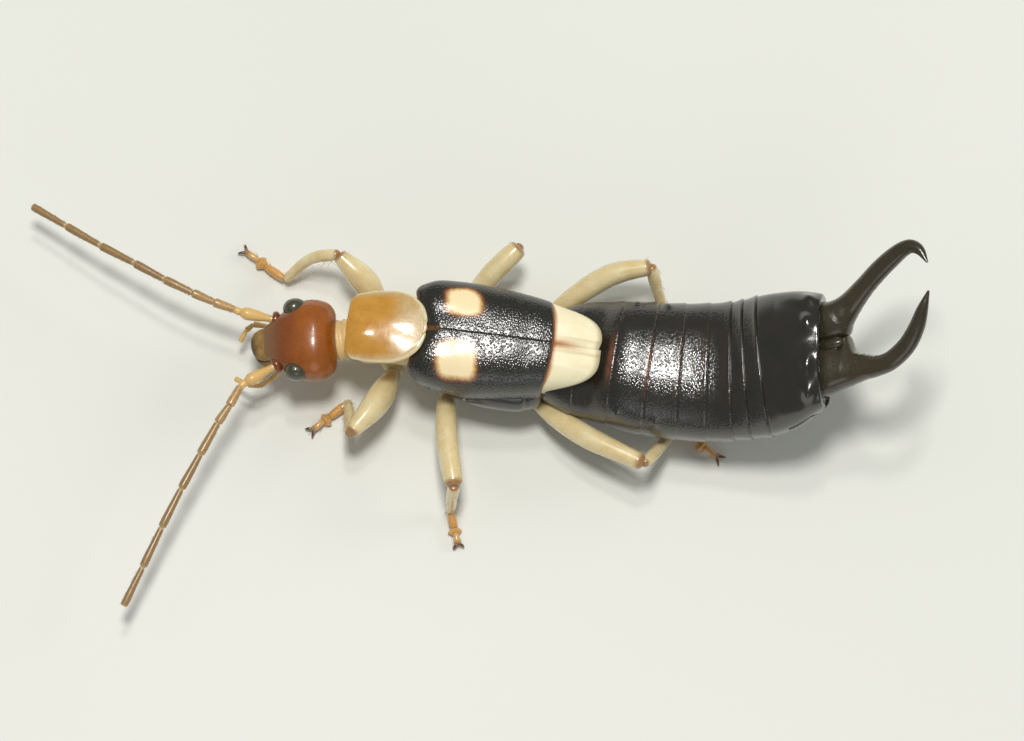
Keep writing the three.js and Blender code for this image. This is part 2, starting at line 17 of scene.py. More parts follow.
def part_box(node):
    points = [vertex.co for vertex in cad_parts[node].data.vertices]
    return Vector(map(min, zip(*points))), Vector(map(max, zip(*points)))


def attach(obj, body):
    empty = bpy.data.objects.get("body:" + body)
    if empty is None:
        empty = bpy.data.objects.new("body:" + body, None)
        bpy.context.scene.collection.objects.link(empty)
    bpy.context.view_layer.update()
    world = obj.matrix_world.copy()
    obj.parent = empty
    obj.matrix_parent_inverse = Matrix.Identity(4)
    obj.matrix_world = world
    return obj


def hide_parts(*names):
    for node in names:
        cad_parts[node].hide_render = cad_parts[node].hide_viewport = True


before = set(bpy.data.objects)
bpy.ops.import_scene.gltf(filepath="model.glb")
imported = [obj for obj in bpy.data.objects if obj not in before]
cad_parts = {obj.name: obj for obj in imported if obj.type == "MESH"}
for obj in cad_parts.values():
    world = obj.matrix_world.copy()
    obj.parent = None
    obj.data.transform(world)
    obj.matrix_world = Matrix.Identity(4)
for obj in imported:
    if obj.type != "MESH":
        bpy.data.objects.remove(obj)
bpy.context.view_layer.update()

MM = 0.001
RNG = np.random.default_rng(7)
# Turns the noise, so that its lattice runs along no flat side of a piece
NOISE_TURN = (0.61, 0.47, 0.83)

# Head, measured from the neck forward
HEAD_BACK = np.array([-5.44, -0.36, 1.9])
HEAD_TURN = math.radians(8.4)
HEAD_LENGTH = 1.98
EYE_SOLID = {"forward": 1.11, "out": 0.88, "up": 0.14}
EYE = {"forward": 1.14, "out": 0.87, "up": 0.14, "long": 0.325, "wide": 0.265, "tall": 0.32}

# Wing cases and wing tips
BACK_TOP = 3.2
WING_CASE = {"front": -3.48, "back": 0.34, "half_width": 1.46, "height": 0.98}
WING_CASE_ARC = math.radians(97)
WING_TIP = {"front": 0.1, "back": 1.62, "half_width": 1.24, "height": 0.8}
WING_TIP_ARC = math.radians(94)

# Hind body: x, y, z of its middle line with its half width and its reach up and down
HIND_BODY = np.array([
    [0.2, 0.02, 1.5, 1.2, 0.75, 0.75],
    [1.0, 0.02, 1.55, 1.52, 0.84, 0.86],
    [1.6, 0.02, 1.62, 1.64, 0.95, 0.94],
    [2.1, 0.0, 1.75, 1.71, 1.16, 1.05],
    [3.0, -0.05, 1.8, 1.8, 1.17, 1.1],
    [3.9, -0.04, 1.87, 1.85, 1.13, 1.12],
    [4.6, 0.0, 2.0, 1.87, 1.08, 1.1],
    [5.3, 0.07, 2.22, 1.86, 1.05, 1.08],
    [5.9, 0.17, 2.52, 1.86, 1.07, 1.05],
    [6.5, 0.3, 2.92, 1.83, 1.06, 1.0],
    [7.05, 0.43, 3.32, 1.74, 0.99, 0.92],
    [7.56, 0.54, 3.68, 1.54, 0.77, 0.76],
])
# Rear edges of its plates, where they cross the top of the back
RING_EDGES = np.array([0.2, 0.99, 2.01, 2.95, 3.78, 4.48, 5.09, 5.44, 5.84, 7.7])
LEAN = 0.35
BODY_END = 7.53
PLATE_LIP = 0.024
NARROW_PLATE_LIP = 0.055
PLATE_TUCK = 0.008

# Forceps: middle line and half width of each arm, root to tip
RIGHT_ARM = np.array([
    [7.3, 1.24, 3.6, 0.52], [7.62, 1.36, 3.8, 0.56], [7.86, 1.55, 3.99, 0.43], [8.08, 1.8, 4.2, 0.335],
    [8.38, 2.2, 4.58, 0.275], [8.69, 2.58, 4.95, 0.265], [9.0, 2.9, 5.25, 0.25],
    [9.27, 3.12, 5.5, 0.215], [9.49, 3.18, 5.64, 0.185], [9.71, 3.06, 5.75, 0.135],
    [9.93, 2.75, 5.84, 0.03],
])
LEFT_ARM = np.array([
    [7.42, 0.0, 3.5, 0.76], [7.84, 0.03, 3.74, 0.66], [8.22, 0.05, 3.95, 0.48],
    [8.6, 0.09, 4.2, 0.36], [8.93, 0.1, 4.45, 0.285], [9.3, 0.23, 4.75, 0.26],
    [9.66, 0.61, 5.05, 0.25], [9.86, 1.07, 5.35, 0.22], [9.95, 1.5, 5.6, 0.16],
    [10.05, 1.98, 5.85, 0.03],
])

# Legs: root, hip, bow of the femur, knee, ankle and claw of each
LEGS = {
    "front_left": [[-4.1, -0.32, 0.95], [-3.76, -0.7, 0.9], [-4.2, -1.85, 1.42],
                   [-4.78, -2.82, 1.7], [-4.96, -1.63, 0.26], [-5.9, -2.56, 0.06]],
    "front_right": [[-4.15, 0.42, 0.95], [-4.35, 1.05, 0.9], [-5.0, 1.56, 1.42],
                    [-5.69, 2.05, 1.7], [-7.03, 1.55, 0.26], [-8.32, 2.29, 0.06]],
    "middle_left": [[-2.45, -0.5, 0.95], [-2.38, -1.05, 0.9], [-2.2, -2.5, 1.45],
                    [-1.84, -3.93, 1.75], [-1.86, -4.24, 0.26], [-1.52, -5.2, 0.06]],
    "middle_right": [[-2.4, 0.5, 0.95], [-2.15, 1.2, 0.9], [-1.52, 2.1, 1.45],
                     [-0.87, 2.87, 1.75], [-1.6, 2.1, 0.26], [-2.5, 1.78, 0.06]],
    "hind_left": [[-0.5, -0.5, 0.95], [0.0, -1.12, 0.9], [1.5, -2.03, 1.42],
                  [3.13, -2.66, 1.75], [3.91, -1.13, 0.26], [5.23, -1.95, 0.06]],
    "hind_right": [[-0.5, 0.5, 0.95], [0.1, 1.3, 0.9], [1.56, 2.4, 1.5],
                   [2.7, 2.74, 1.85], [3.33, 1.69, 0.26], [4.2, 0.9, 0.06]],
}
# A shin that bows more than the others, by its middle
BOWED_SHINS = {"front_right": [-6.42, 1.98, 1.12]}
HEEL_SHARE = 0.02

# Feelers: the joints of each, from the socket outward
FEELERS = {
    "left": [[-6.93, -1.22, 1.86], [-7.72, -1.82, 1.92], [-7.84, -1.95, 1.92],
             [-8.07, -2.5, 1.9], [-8.32, -3.0, 1.85], [-8.68, -3.9, 1.78],
             [-9.07, -4.89, 1.7], [-9.46, -5.98, 1.58], [-9.83, -7.09, 1.45],
             [-10.21, -8.19, 1.3]],
    "right": [[-7.1, 0.0, 1.86], [-8.1, 0.07, 1.95], [-8.24, 0.12, 1.96],
              [-8.83, 0.25, 1.98], [-9.43, 0.43, 2.0], [-10.22, 0.72, 1.92],
              [-11.08, 1.09, 1.82], [-12.05, 1.5, 1.66], [-13.04, 1.97, 1.48],
              [-14.02, 2.44, 1.32]],
}
PALPS = {
    "left": [[-6.75, -1.12, 1.3], [-7.02, -1.38, 1.05], [-7.36, -1.66, 1.0],
             [-7.66, -1.64, 0.95], [-8.03, -1.5, 0.85]],
    "right": [[-7.15, -0.3, 1.3], [-7.35, 0.0, 1.05], [-7.72, 0.02, 1.0],
              [-7.9, -0.16, 0.95], [-8.02, -0.46, 0.85]],
}


def head_place(points):
    """Turns points of the head's own frame about the upright axis and moves them to the neck."""
    c, s = math.cos(HEAD_TURN), math.sin(HEAD_TURN)
    turn = np.array([[c, s, 0], [-s, c, 0], [0, 0, 1]])
    return points @ turn + HEAD_BACK


EYE_MIDDLE = head_place(
    np.array([-EYE_SOLID["forward"], EYE_SOLID["out"], EYE_SOLID["up"]]))
eye_low, eye_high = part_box("eye_right")
SHIFT = np.array((eye_low + eye_high) / 2) / MM - EYE_MIDDLE


# Profiles and surfaces

def blend(at, places, values):
    """A smooth curve through values at rising places: on each span a cubic whose slopes at
    its ends are the mean slopes of the two spans that meet there."""
    places = np.asarray(places, float)
    values = np.asarray(values, float)
    at = np.clip(np.asarray(at, float), places[0], places[-1])
    slopes = np.gradient(values, places, axis=0)
    i = np.clip(np.searchsorted(places, at, side="right") - 1, 0, len(places) - 2)
    span = places[i + 1] - places[i]
    t = (at - places[i]) / span
    if values.ndim > 1:
        t, span = t[..., None], span[..., None]
    start = (1 + 2 * t) * (1 - t) ** 2 * values[i] + t * (1 - t) ** 2 * span * slopes[i]
    end = t * t * (3 - 2 * t) * values[i + 1] + t * t * (t - 1) * span * slopes[i + 1]
    return start + end


def bent(x, power):
    """The power of a number's size, with its sign kept: squares a circle below one."""
    return np.sign(x) * np.abs(x) ** power


def bell(x, width):
    """A bump of height 1 at 0 that falls off as exp(-(x/width)^2)."""
    return np.exp(-((x / width) ** 2))


def step(x, low, high):
    """0 below low, 1 above high, and 3t^2-2t^3 between."""
    t = np.clip((x - low) / (high - low), 0, 1)
    return t * t * (3 - 2 * t)


def ripple(points, size, seed):
    """Soft noise between about -1 and 1: the mean of six sine waves with random directions,
    whose lengths are about the given size."""
    draw = np.random.default_rng(seed)
    waves = draw.normal(size=(6, 3)) * (2.2 / size)
    return sum(np.sin(points @ wave + k * 1.7) for k, wave in enumerate(waves)) / 3


def close_spread(count):
    """Shares from 0 to 1 that lie closer at both ends: half of 1 minus a cosine."""
    return (1 - np.cos(np.linspace(0, math.pi, count))) / 2


class Shape:
    """Points, four-sided and three-sided faces, and one number per point for each mask."""

    def __init__(self, points, quads, tris, masks):
        """Keeps the four as they are."""
        self.points, self.quads, self.tris, self.masks = points, quads, tris, masks

    def __add__(self, other):
        """Both shapes as one, with 0 where one of them has no such mask."""
        count = len(self.points)
        here, there = np.zeros(count), np.zeros(len(other.points))
        masks = {n: np.concatenate([self.masks.get(n, here), other.masks.get(n, there)])
                 for n in {**self.masks, **other.masks}}
        return Shape(np.vstack([self.points, other.points]),
                     np.vstack([self.quads, other.quads + count]),
                     np.vstack([self.tris, other.tris + count]), masks)


def joined(shapes):
    """All the shapes as one, added in their order."""
    return functools.reduce(Shape.__add__, shapes)


def towards(start, end):
    """The direction from one place to another: their difference over its length."""
    way = np.subtract(end, start)
    return way / np.linalg.norm(way)


def loft(rings, masks=None, tips=True):
    """Joins rings of equal count, an array of ring by place by xyz, into one closed skin
    with a point in the middle of each end. Faces are turned to give a positive volume."""
    n, m, _ = rings.shape
    i, j = np.meshgrid(np.arange(n - 1), np.arange(m), indexing="ij")
    a, b = i * m + j, i * m + (j + 1) % m
    quads = np.stack([a, b, b + m, a + m], -1).reshape(-1, 4)
    points = rings.reshape(-1, 3)
    tris = np.zeros((0, 3), int)
    if tips:
        points = np.vstack([points, rings[0].mean(0), rings[-1].mean(0)])
        k = np.arange(m)
        nxt = (k + 1) % m
        last = (n - 1) * m
        tris = np.vstack([np.stack([np.full(m, n * m), nxt, k], -1),
                          np.stack([np.full(m, n * m + 1), last + k, last + nxt], -1)])
    p = points - points.mean(0)
    fan = np.vstack([quads[:, [0, 1, 2]], quads[:, [0, 2, 3]], tris])
    volume = np.einsum("ij,ij->i", p[fan[:, 0]], np.cross(p[fan[:, 1]], p[fan[:, 2]])).sum()
    if volume < 0:
        quads, tris = quads[:, ::-1], tris[:, ::-1]
    flat = {}
    for name, value in (masks or {}).items():
        value = np.broadcast_to(value, (n, m)).reshape(-1)
        ends = [value[:m].mean(), value[-m:].mean()] if tips else []
        flat[name] = np.concatenate([value, ends])
    return Shape(points, quads, tris, flat)


def path_frames(points, count, spread=None):
    """Places along a smooth curve through the points, with its direction, the level
    direction across it and the one over it."""
    points = np.asarray(points, float)
    knots = np.arange(len(points)) / (len(points) - 1)
    t = close_spread(count) if spread is None else spread
    centre = blend(t, knots, points)
    along = blend(np.clip(t + 0.004, 0, 1), knots, points)
    along = along - blend(np.clip(t - 0.004, 0, 1), knots, points)
    along /= np.linalg.norm(along, axis=1)[:, None]
    across = np.cross([0, 0, 1.0], along)
    across /= np.linalg.norm(across, axis=1)[:, None]
    return t, centre, along, across, np.cross(along, across)


def tube(points, size, rings, sides, square=1.0, masks=None, lowest=None):
    """A limb: rings across a smooth curve, each with a half width and half height that
    size(t, angle) gives, squared by the power, with masks worked out from t."""
    t, centre, _, across, over = path_frames(points, rings)
    angle = np.linspace(0, 2 * math.pi, sides, endpoint=False)
    wide, tall = size(t[:, None], angle[None, :])
    out = bent(np.cos(angle), square)[None, :] * wide
    up = bent(np.sin(angle), square)[None, :] * tall
    ring = centre[:, None] + across[:, None] * out[..., None] + over[:, None] * up[..., None]
    if lowest is not None:
        ring[..., 2] = np.maximum(ring[..., 2], lowest)
    return loft(ring, {k: f(t[:, None]) for k, f in (masks or {}).items()})


def round_ends(t, reach, blunt=0.2):
    """1 along the middle, falling to the blunt share at both ends as a quarter circle does."""
    near = np.clip(np.minimum(t, 1 - t) / reach, 0, 1)
    return blunt + (1 - blunt) * np.sqrt(1 - (1 - near) ** 2)


def knob(line, wide, tall, reach, rings, sides, blunt=0.2):
    """A tube of one half width and half height that is drawn in at both ends."""
    return tube(line, lambda t, a: (wide * round_ends(t, reach, blunt),
                                    tall * round_ends(t, reach, blunt)), rings, sides)


EDGE_SHARE = 0.03


def plate(middle, half_thick, rows, columns, masks, inner=EDGE_SHARE):
    """A shell: a surface of two shares from 0 to 1, moved up and down by half its
    thickness, which falls to nothing at its edges so that both faces meet there; inner is
    the share over which it falls on the side where the second share is 0."""
    u, v = np.meshgrid(close_spread(rows), close_spread(columns), indexing="ij")
    points = middle(u, v)
    edge = np.minimum(np.minimum(u, 1 - u) / EDGE_SHARE, np.minimum(v / inner, (1 - v) / EDGE_SHARE))
    half = half_thick * np.sqrt(1 - (1 - np.clip(edge, 0, 1)) ** 2)
    du = np.gradient(points, axis=0)
    dv = np.gradient(points, axis=1)
    normal = np.cross(du, dv)
    normal /= np.linalg.norm(normal, axis=2)[..., None] + 1e-12
    normal *= np.sign(normal[rows // 2, columns // 3, 2])
    top = points + normal * half[..., None]
    under = points - normal * half[..., None]
    rings = np.concatenate([top, under[:, -2:0:-1]], axis=1)
    made = {}
    for name, value in masks.items():
        value = value(u, v)
        made[name] = np.concatenate([value, value[:, -2:0:-1]], axis=1)
    return loft(rings, made, tips=False)


def placed(name, data):
    """A new object of the scene that holds the data."""
    made = bpy.data.objects.new(name, data)
    bpy.context.scene.collection.objects.link(made)
    return made


def piece(name, shape, finish, slot, *nodes, weld=0.0):
    """Puts a shape into a mesh in metres, moved onto the solids, and lets it stand for
    the named nodes."""
    mesh = bpy.data.meshes.new(name)
    points = (shape.points + SHIFT) * MM
    points[:, 2] = np.maximum(points[:, 2], 0)
    loops = np.concatenate([shape.quads.reshape(-1), shape.tris.reshape(-1)])
    totals = np.concatenate([np.full(len(shape.quads), 4), np.full(len(shape.tris), 3)])
    mesh.vertices.add(len(points))
    mesh.vertices.foreach_set("co", points.astype(np.float32).reshape(-1))
    mesh.loops.add(len(loops))
    mesh.loops.foreach_set("vertex_index", loops.astype(np.int32))
    mesh.polygons.add(len(totals))
    mesh.polygons.foreach_set("loop_start", (np.cumsum(totals) - totals).astype(np.int32))
    mesh.polygons.foreach_set("loop_total", totals.astype(np.int32))
    for mask, value in shape.masks.items():
        layer = mesh.attributes.new(mask, "FLOAT", "POINT")
        layer.data.foreach_set("value", np.asarray(value, np.float32))
    mesh.update(calc_edges=True)
    mesh.validate()
    if weld:
        work = bmesh.new()
        work.from_mesh(mesh)
        bmesh.ops.remove_doubles(work, verts=work.verts, dist=weld * MM)
        bmesh.ops.recalc_face_normals(work, faces=work.faces)
        work.to_mesh(mesh)
        work.free()
    mesh.polygons.foreach_set("use_smooth", np.ones(len(mesh.polygons), bool))
    mesh.materials.append(finish)
    made = placed(name, mesh)
    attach(made, "root")
    if nodes:
        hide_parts(*nodes)


# Finishes

class Finish:
    """A material under construction: nodes by kind, with their inputs set or linked."""

    def __init__(self, name, soft=None, **sockets):
        """Opens a material and sets the named sockets of its shader. Soft gives the weight,
        the depth in millimetres and the reach of each colour of light under the surface."""
        self.material = bpy.data.materials.new(name)
        self.material.use_nodes = True
        self.tree = self.material.node_tree
        self.shader = self.tree.nodes["Principled BSDF"]
        if soft:
            weight, depth, reach = soft
            sockets.update(Subsurface_Weight=weight, Subsurface_Scale=depth * MM, Subsurface_Radius=reach)
        for key, value in sockets.items():
            self.shader.inputs[key.replace("_", " ")].default_value = value
        place = self.add("ShaderNodeTexCoord").outputs["Object"]
        self.place = self.add("ShaderNodeMapping", {"Vector": place, "Rotation": NOISE_TURN}).outputs[0]

    def add(self, kind, inputs=None, **settings):
        """A new node with settings; its inputs are linked or given a value."""
        node = self.tree.nodes.new(kind)
        for key, value in settings.items():
            setattr(node, key, value)
        for key, value in (inputs or {}).items():
            if isinstance(value, bpy.types.NodeSocket):
                self.tree.links.new(value, node.inputs[key])
            else:
                node.inputs[key].default_value = value
        return node

    def mask(self, name):
        """The number that the mesh holds at each point for a mask."""
        return self.add("ShaderNodeAttribute", attribute_name=name).outputs["Fac"]

    def noise(self, size, detail=3.0, rough=0.55):
        """Cloudy noise with clumps about size millimetres across."""
        inputs = {"Vector": self.place, "Scale": 1 / (size * MM), "Detail": detail,
                  "Roughness": rough}
        return self.add("ShaderNodeTexNoise", inputs).outputs["Fac"]

    def cells(self, size, feature="F1"):
        """Distance to the nearest of random points about size millimetres apart."""
        inputs = {"Vector": self.place, "Scale": 1 / (size * MM)}
        return self.add("ShaderNodeTexVoronoi", inputs, feature=feature).outputs["Distance"]

    def value(self, factor, low, high, to_low, to_high):
        """The factor carried in a straight line from one span of numbers to another."""
        inputs = {"Value": factor, "From Min": low, "From Max": high, "To Min": to_low,
                  "To Max": to_high}
        return self.add("ShaderNodeMapRange", inputs).outputs["Result"]

    def cloud(self, size, detail, low=0.0, high=1.0):
        """The noise, with its middle stretched in a straight line from low to high."""
        return self.value(self.noise(size, detail), 0.3, 0.7, low, high)

    def sum(self, a, b, operation="ADD"):
        """Two numbers joined by an operation, which adds unless another is named."""
        return self.add("ShaderNodeMath", {0: a, 1: b}, operation=operation).outputs[0]

    def ramp(self, factor, *stops):
        """Colours blended in straight lines between stops of place and colour."""
        node = self.add("ShaderNodeValToRGB", {"Fac": factor})
        ramp = node.color_ramp
        while len(ramp.elements) < len(stops):
            ramp.elements.new(0.5)
        for element, (position, colour) in zip(ramp.elements, stops):
            element.position = position
            element.color = (*colour, 1)
        return node.outputs["Color"]

    def mix(self, factor, a, b):
        """The first colour times 1 less the factor, plus the second times the factor."""
        node = self.add("ShaderNodeMix", data_type="RGBA")
        for socket, value in ((node.inputs[0], factor), (node.inputs[6], a), (node.inputs[7], b)):
            if isinstance(value, bpy.types.NodeSocket):
                self.tree.links.new(value, socket)
            else:
                socket.default_value = (*value, 1) if isinstance(value, tuple) else value
        return node.outputs[2]

    def mottle(self, size, detail, a, b):
        """Two colours mixed by the stretched noise."""
        return self.mix(self.cloud(size, detail), a, b)

    def masked(self, colour, **layers):
        """The colour with another mixed over it by each named mask in turn."""
        for name, over in layers.items():
            colour = self.mix(self.mask(name), colour, over)
        return colour

    def bump(self, height, depth, strength=1.0, below=None):
        """A normal bent by the slope of a height that is depth millimetres deep."""
        inputs = {"Height": height, "Distance": depth * MM, "Strength": strength}
        if below is not None:
            inputs["Normal"] = below
        return self.add("ShaderNodeBump", inputs).outputs["Normal"]

    def grain(self, *layers):
        """Bumps of noise, each over the one before: size, detail, depth and strength."""
        normal = None
        for size, detail, depth, strength in layers:
            normal = self.bump(self.noise(size, detail), depth, strength, normal)
        return normal

    def pits(self, size, share, depth, below):
        """Round pits in the shell and its coat: distance in cells times a share."""
        hollow = self.value(self.cells(size), 0.1, 0.6, 0.0, 1.0)
        normal = self.bump(self.sum(hollow, share, "MULTIPLY"), depth, 1.0, below)
        self.set("Coat Normal", normal)
        return normal

    def set(self, socket, source):
        """Links a source to one socket of the shader."""
        self.tree.links.new(source, self.shader.inputs[socket])

    def done(self, colour, roughness, normal):
        """Links the three main sources and gives the material."""
        self.set("Base Color", colour)
        self.set("Roughness", roughness)
        self.set("Normal", normal)
        return self.material


def head_finish():
    """Reddish brown, darker in front and round the sockets, with a faint mottle and gloss."""
    f = Finish("head_shell", (0.12, 0.2, (1.0, 0.35, 0.12)), Coat_Weight=0.5, Coat_Roughness=0.12)
    shell = f.masked(f.mottle(0.35, 4, (0.25, 0.068, 0.006), (0.34, 0.096, 0.009)),
                     front=(0.17, 0.042, 0.012), lip=(0.2, 0.11, 0.05), socket=(0.07, 0.018, 0.01))
    return f.done(shell, f.cloud(0.06, 2, 0.24, 0.36),
                  f.grain((0.04, 2, 0.0012, 0.5), (0.5, 2, 0.012, 0.5)))


def lip_finish():
    """Thin horn, greyish brown and slightly see-through."""
    f = Finish("lip_shell", (0.3, 0.3, (1.0, 0.6, 0.35)))
    cloud = f.cloud(0.18, 3)
    lip = f.masked(f.mix(cloud, (0.2, 0.115, 0.033), (0.34, 0.21, 0.07)), tip=(0.07, 0.05, 0.035))
    return f.done(lip, f.value(cloud, 0, 1, 0.25, 0.4), f.grain((0.05, 2, 0.004, 0.6)))


def eye_finish():
    """Greenish black with olive facet centres, partly a painted reflection, bumped by close-set round
    facets.
    """
    f = Finish("eye_facets", Coat_Weight=0.9, Coat_Roughness=0.12)
    facets = f.cells(0.03, "SMOOTH_F1")
    # The olive at the facet centres partly stands in for reflected light, painted into the colour.
    return f.done(f.ramp(facets, (0.2, (0.075, 0.07, 0.036)), (0.7, (0.018, 0.02, 0.011))),
                  f.value(facets, 0.1, 0.7, 0.22, 0.45),
                  f.bump(f.value(facets, 0, 0.8, 1, 0), 0.006, 0.8))


def feeler_finish(name, near, far, joint, mottled):
    """Brown rings with pale joints, finely grained, and yellower near the head."""
    f = Finish(name, (0.15, 0.1, (1.0, 0.6, 0.3)), Coat_Weight=0.6, Coat_Roughness=0.18)
    ring = f.mix(f.mask("reach"), near, far)
    ring = f.mix(f.cloud(0.07, 3, 0.0, mottled), ring, (0.14, 0.07, 0.02))
    return f.done(f.masked(ring, joint=joint), f.cloud(0.05, 2, 0.4, 0.55),
                  f.grain((0.03, 3, 0.003, 0.7)))


def shield_finish():
    """Honey orange disc and pale clear margins, with a rim painted lighter, partly as a sparkle
    highlight; smooth and very shiny.
    """
    f = Finish("shield_shell", (0.35, 0.4, (1.0, 0.55, 0.2)), Coat_Weight=0.8, Coat_Roughness=0.1)
    disc = f.masked(f.mottle(0.5, 3, (0.5, 0.235, 0.026), (0.6, 0.31, 0.05)), seam=(0.5, 0.2, 0.03))
    # The rim colour is partly a painted sparkle highlight along the pale edges.
    pale = f.masked(f.mottle(0.12, 3, (0.5, 0.35, 0.15), (0.6, 0.44, 0.22)), rim=(0.75, 0.62, 0.39))
    return f.done(f.masked(disc, margin=pale), f.cloud(0.1, 3, 0.2, 0.34),
                  f.grain((0.04, 3, 0.004, 0.5), (0.35, 2, 0.02, 0.5)))


def wing_case_finish():
    """Black, closely pitted, with blurred cream spots in a brown edge and a thin brown rim."""
    f = Finish("wing_case_shell", Coat_Weight=0.2, Coat_Roughness=0.16, Specular_IOR_Level=0.95)
    spot = f.sum(f.mask("spot"), f.value(f.noise(0.1, 3, 0.5), 0.3, 0.7, -0.03, 0.03))
    colour = f.ramp(spot, (0.38, (0.011, 0.01, 0.007)), (0.52, (0.045, 0.018, 0.008)),
                    (0.61, (0.2, 0.075, 0.02)), (0.73, (0.62, 0.37, 0.14)),
                    (0.88, (0.95, 0.78, 0.47)))
    share = f.value(f.mask("spot"), 0.5, 0.75, 1.0, 0.2)
    return f.done(f.masked(colour, rim=(0.24, 0.085, 0.026)), f.cloud(0.05, 2, 0.19, 0.29),
                  f.pits(0.06, share, 0.0062, f.grain((0.03, 2, 0.002, 0.9))))


def wing_finish():
    """Ivory, thin and satin, with a greyish rim, a brown root and faint folds."""
    f = Finish("wing_leaf", (0.3, 0.2, (1.0, 0.8, 0.5)))
    leaf = f.masked(f.mottle(0.25, 4, (0.91, 0.79, 0.52), (0.96, 0.86, 0.61)),
                    grey=(0.46, 0.4, 0.26), brown=(0.45, 0.18, 0.05))
    return f.done(leaf, f.cloud(0.06, 3, 0.35, 0.5), f.grain((0.04, 3, 0.008, 0.7)))


def body_finish():
    """Black brown and glossy, finely pitted, redder in soft bands, and paler at plate edges, partly as a
    painted sheen of their glints.
    """
    f = Finish("body_shell", Coat_Weight=0.6, Coat_Roughness=0.12, Specular_IOR_Level=0.9)
    cloud = f.value(f.noise(0.6, 3), 0.35, 0.7, 0, 1)
    shell = f.mix(cloud, (0.008, 0.0075, 0.005), (0.017, 0.012, 0.0075))
    band = f.sum(f.mask("band"), f.cloud(0.2, 3, 0.3, 1.0), "MULTIPLY")
    shell = f.mix(band, shell, (0.28, 0.075, 0.024))
    # Pale lines at the plate edges: partly a paler edge, partly a painted highlight standing in for the
    # glints along it.
    pale_edge_and_sheen = f.sum(f.mask("lip"), f.value(f.noise(0.09, 2), 0.48, 0.62, 0.0, 0.85), "MULTIPLY")
    return f.done(f.mix(pale_edge_and_sheen, shell, (0.15, 0.11, 0.07)), f.cloud(0.07, 2, 0.16, 0.26),
                  f.pits(0.052, f.mask("pitted"), 0.0046, f.grain((0.03, 2, 0.0018, 0.7))))


def forceps_finish():
    """Black brown horn, smooth and glossy, slightly redder along the middle of each arm."""
    f = Finish("forceps_horn", Coat_Weight=0.6, Coat_Roughness=0.1)
    horn = f.masked(f.mottle(0.5, 3, (0.022, 0.02, 0.01), (0.036, 0.028, 0.014)),
                    warm=(0.048, 0.034, 0.016))
    return f.done(horn, f.cloud(0.08, 3, 0.2, 0.36),
                  f.grain((0.05, 4, 0.006, 0.6), (0.3, 2, 0.04, 0.5)))


def leg_finish():
    """Straw yellow and slightly see-through, brown at the knees, orange feet, dark claws."""
    f = Finish("leg_shell", (0.35, 0.3, (1.0, 0.7, 0.3)), Coat_Weight=0.9, Coat_Roughness=0.14)
    straw = f.masked(f.mottle(0.4, 3, (0.68, 0.53, 0.26), (0.77, 0.66, 0.4)),
                     foot=(0.6, 0.29, 0.06), knee=(0.3, 0.13, 0.035), claw=(0.09, 0.03, 0.01))
    return f.done(straw, f.cloud(0.07, 2, 0.24, 0.36),
                  f.grain((0.03, 3, 0.004, 0.6), (0.2, 2, 0.012, 0.5)))


def skin_finish():
    """Soft pale skin between the plates of the neck and chest, finely wrinkled."""
    f = Finish("joint_skin", (0.4, 0.3, (1.0, 0.6, 0.25)), Coat_Weight=0.4, Coat_Roughness=0.2)
    cloud = f.cloud(0.2, 4)
    return f.done(f.mix(cloud, (0.68, 0.44, 0.17), (0.8, 0.59, 0.29)),
                  f.value(cloud, 0, 1, 0.35, 0.5), f.grain((0.06, 4, 0.012, 0.8)))


# Head

def head_shape():
    """A swollen heart: half width and height follow profiles along the head, the section is
    a slightly squared circle, and grooves and bumps are added along its outward direction."""
    t = close_spread(150)
    a = np.linspace(0, 2 * math.pi, 160, endpoint=False)
    places = [0, 0.02, 0.05, 0.1, 0.2, 0.3, 0.42, 0.55, 0.68, 0.8, 0.9, 1.0]
    half = blend(t, places, [0.5, 0.68, 0.82, 0.96, 1.08, 1.12, 1.1, 1.02, 0.86, 0.68, 0.53, 0.42])
    up = blend(t, places, [0.24, 0.32, 0.42, 0.54, 0.68, 0.735, 0.72, 0.65, 0.54, 0.41, 0.3, 0.2])
    down = blend(t, places, [0.22, 0.27, 0.33, 0.42, 0.53, 0.6, 0.62, 0.6, 0.56, 0.48, 0.4, 0.3])
    ends = round_ends(t, 0.03, 0.3)
    c, s = np.cos(a)[None, :], np.sin(a)[None, :]
    y = bent(c, 0.92) * (half * ends)[:, None]
    z = bent(s, 0.92) * np.where(s > 0, (up * ends)[:, None], (down * ends)[:, None])
    x = -np.broadcast_to(HEAD_LENGTH * t[:, None], y.shape)
    x = x + 0.1 * (y / 1.1) ** 2 * step(-x, 0.6, 0.0)
    top = step(s, 0.2, 0.7)
    seam = bell(y, 0.02) * step(-x, 1.1, 0.7) * top
    fork = bell(np.abs(y) - 0.75 * (-x - 0.85), 0.025) * step(-x, 0.8, 0.95) * step(-x, 1.5, 1.3) * top
    z = z - 0.004 * seam - 0.002 * fork - 0.1 * step(-x, 1.2, 1.9) * top * bell(y, 0.35) * 0.4
    z = z - 0.12 * t[:, None] ** 2
    socket = sum(
        bell(np.hypot(-x - 1.62, y - side * 0.6), 0.16) * step(z, -0.25, 0.0) for side in (-1, 1)
    )
    z = z + 0.05 * socket
    points = head_place(np.stack([x, y, z], -1))
    masks = {"front": step(-x, 0.8, 1.7) * 0.8, "lip": step(-x, 1.42, 1.9)}
    made = loft(points, masks)
    for joints in FEELERS.values():
        along = towards(joints[0], joints[1])
        made = made + collar_shape(joints[0] + along * 0.05, along, 0.16, 0.07)
    return made


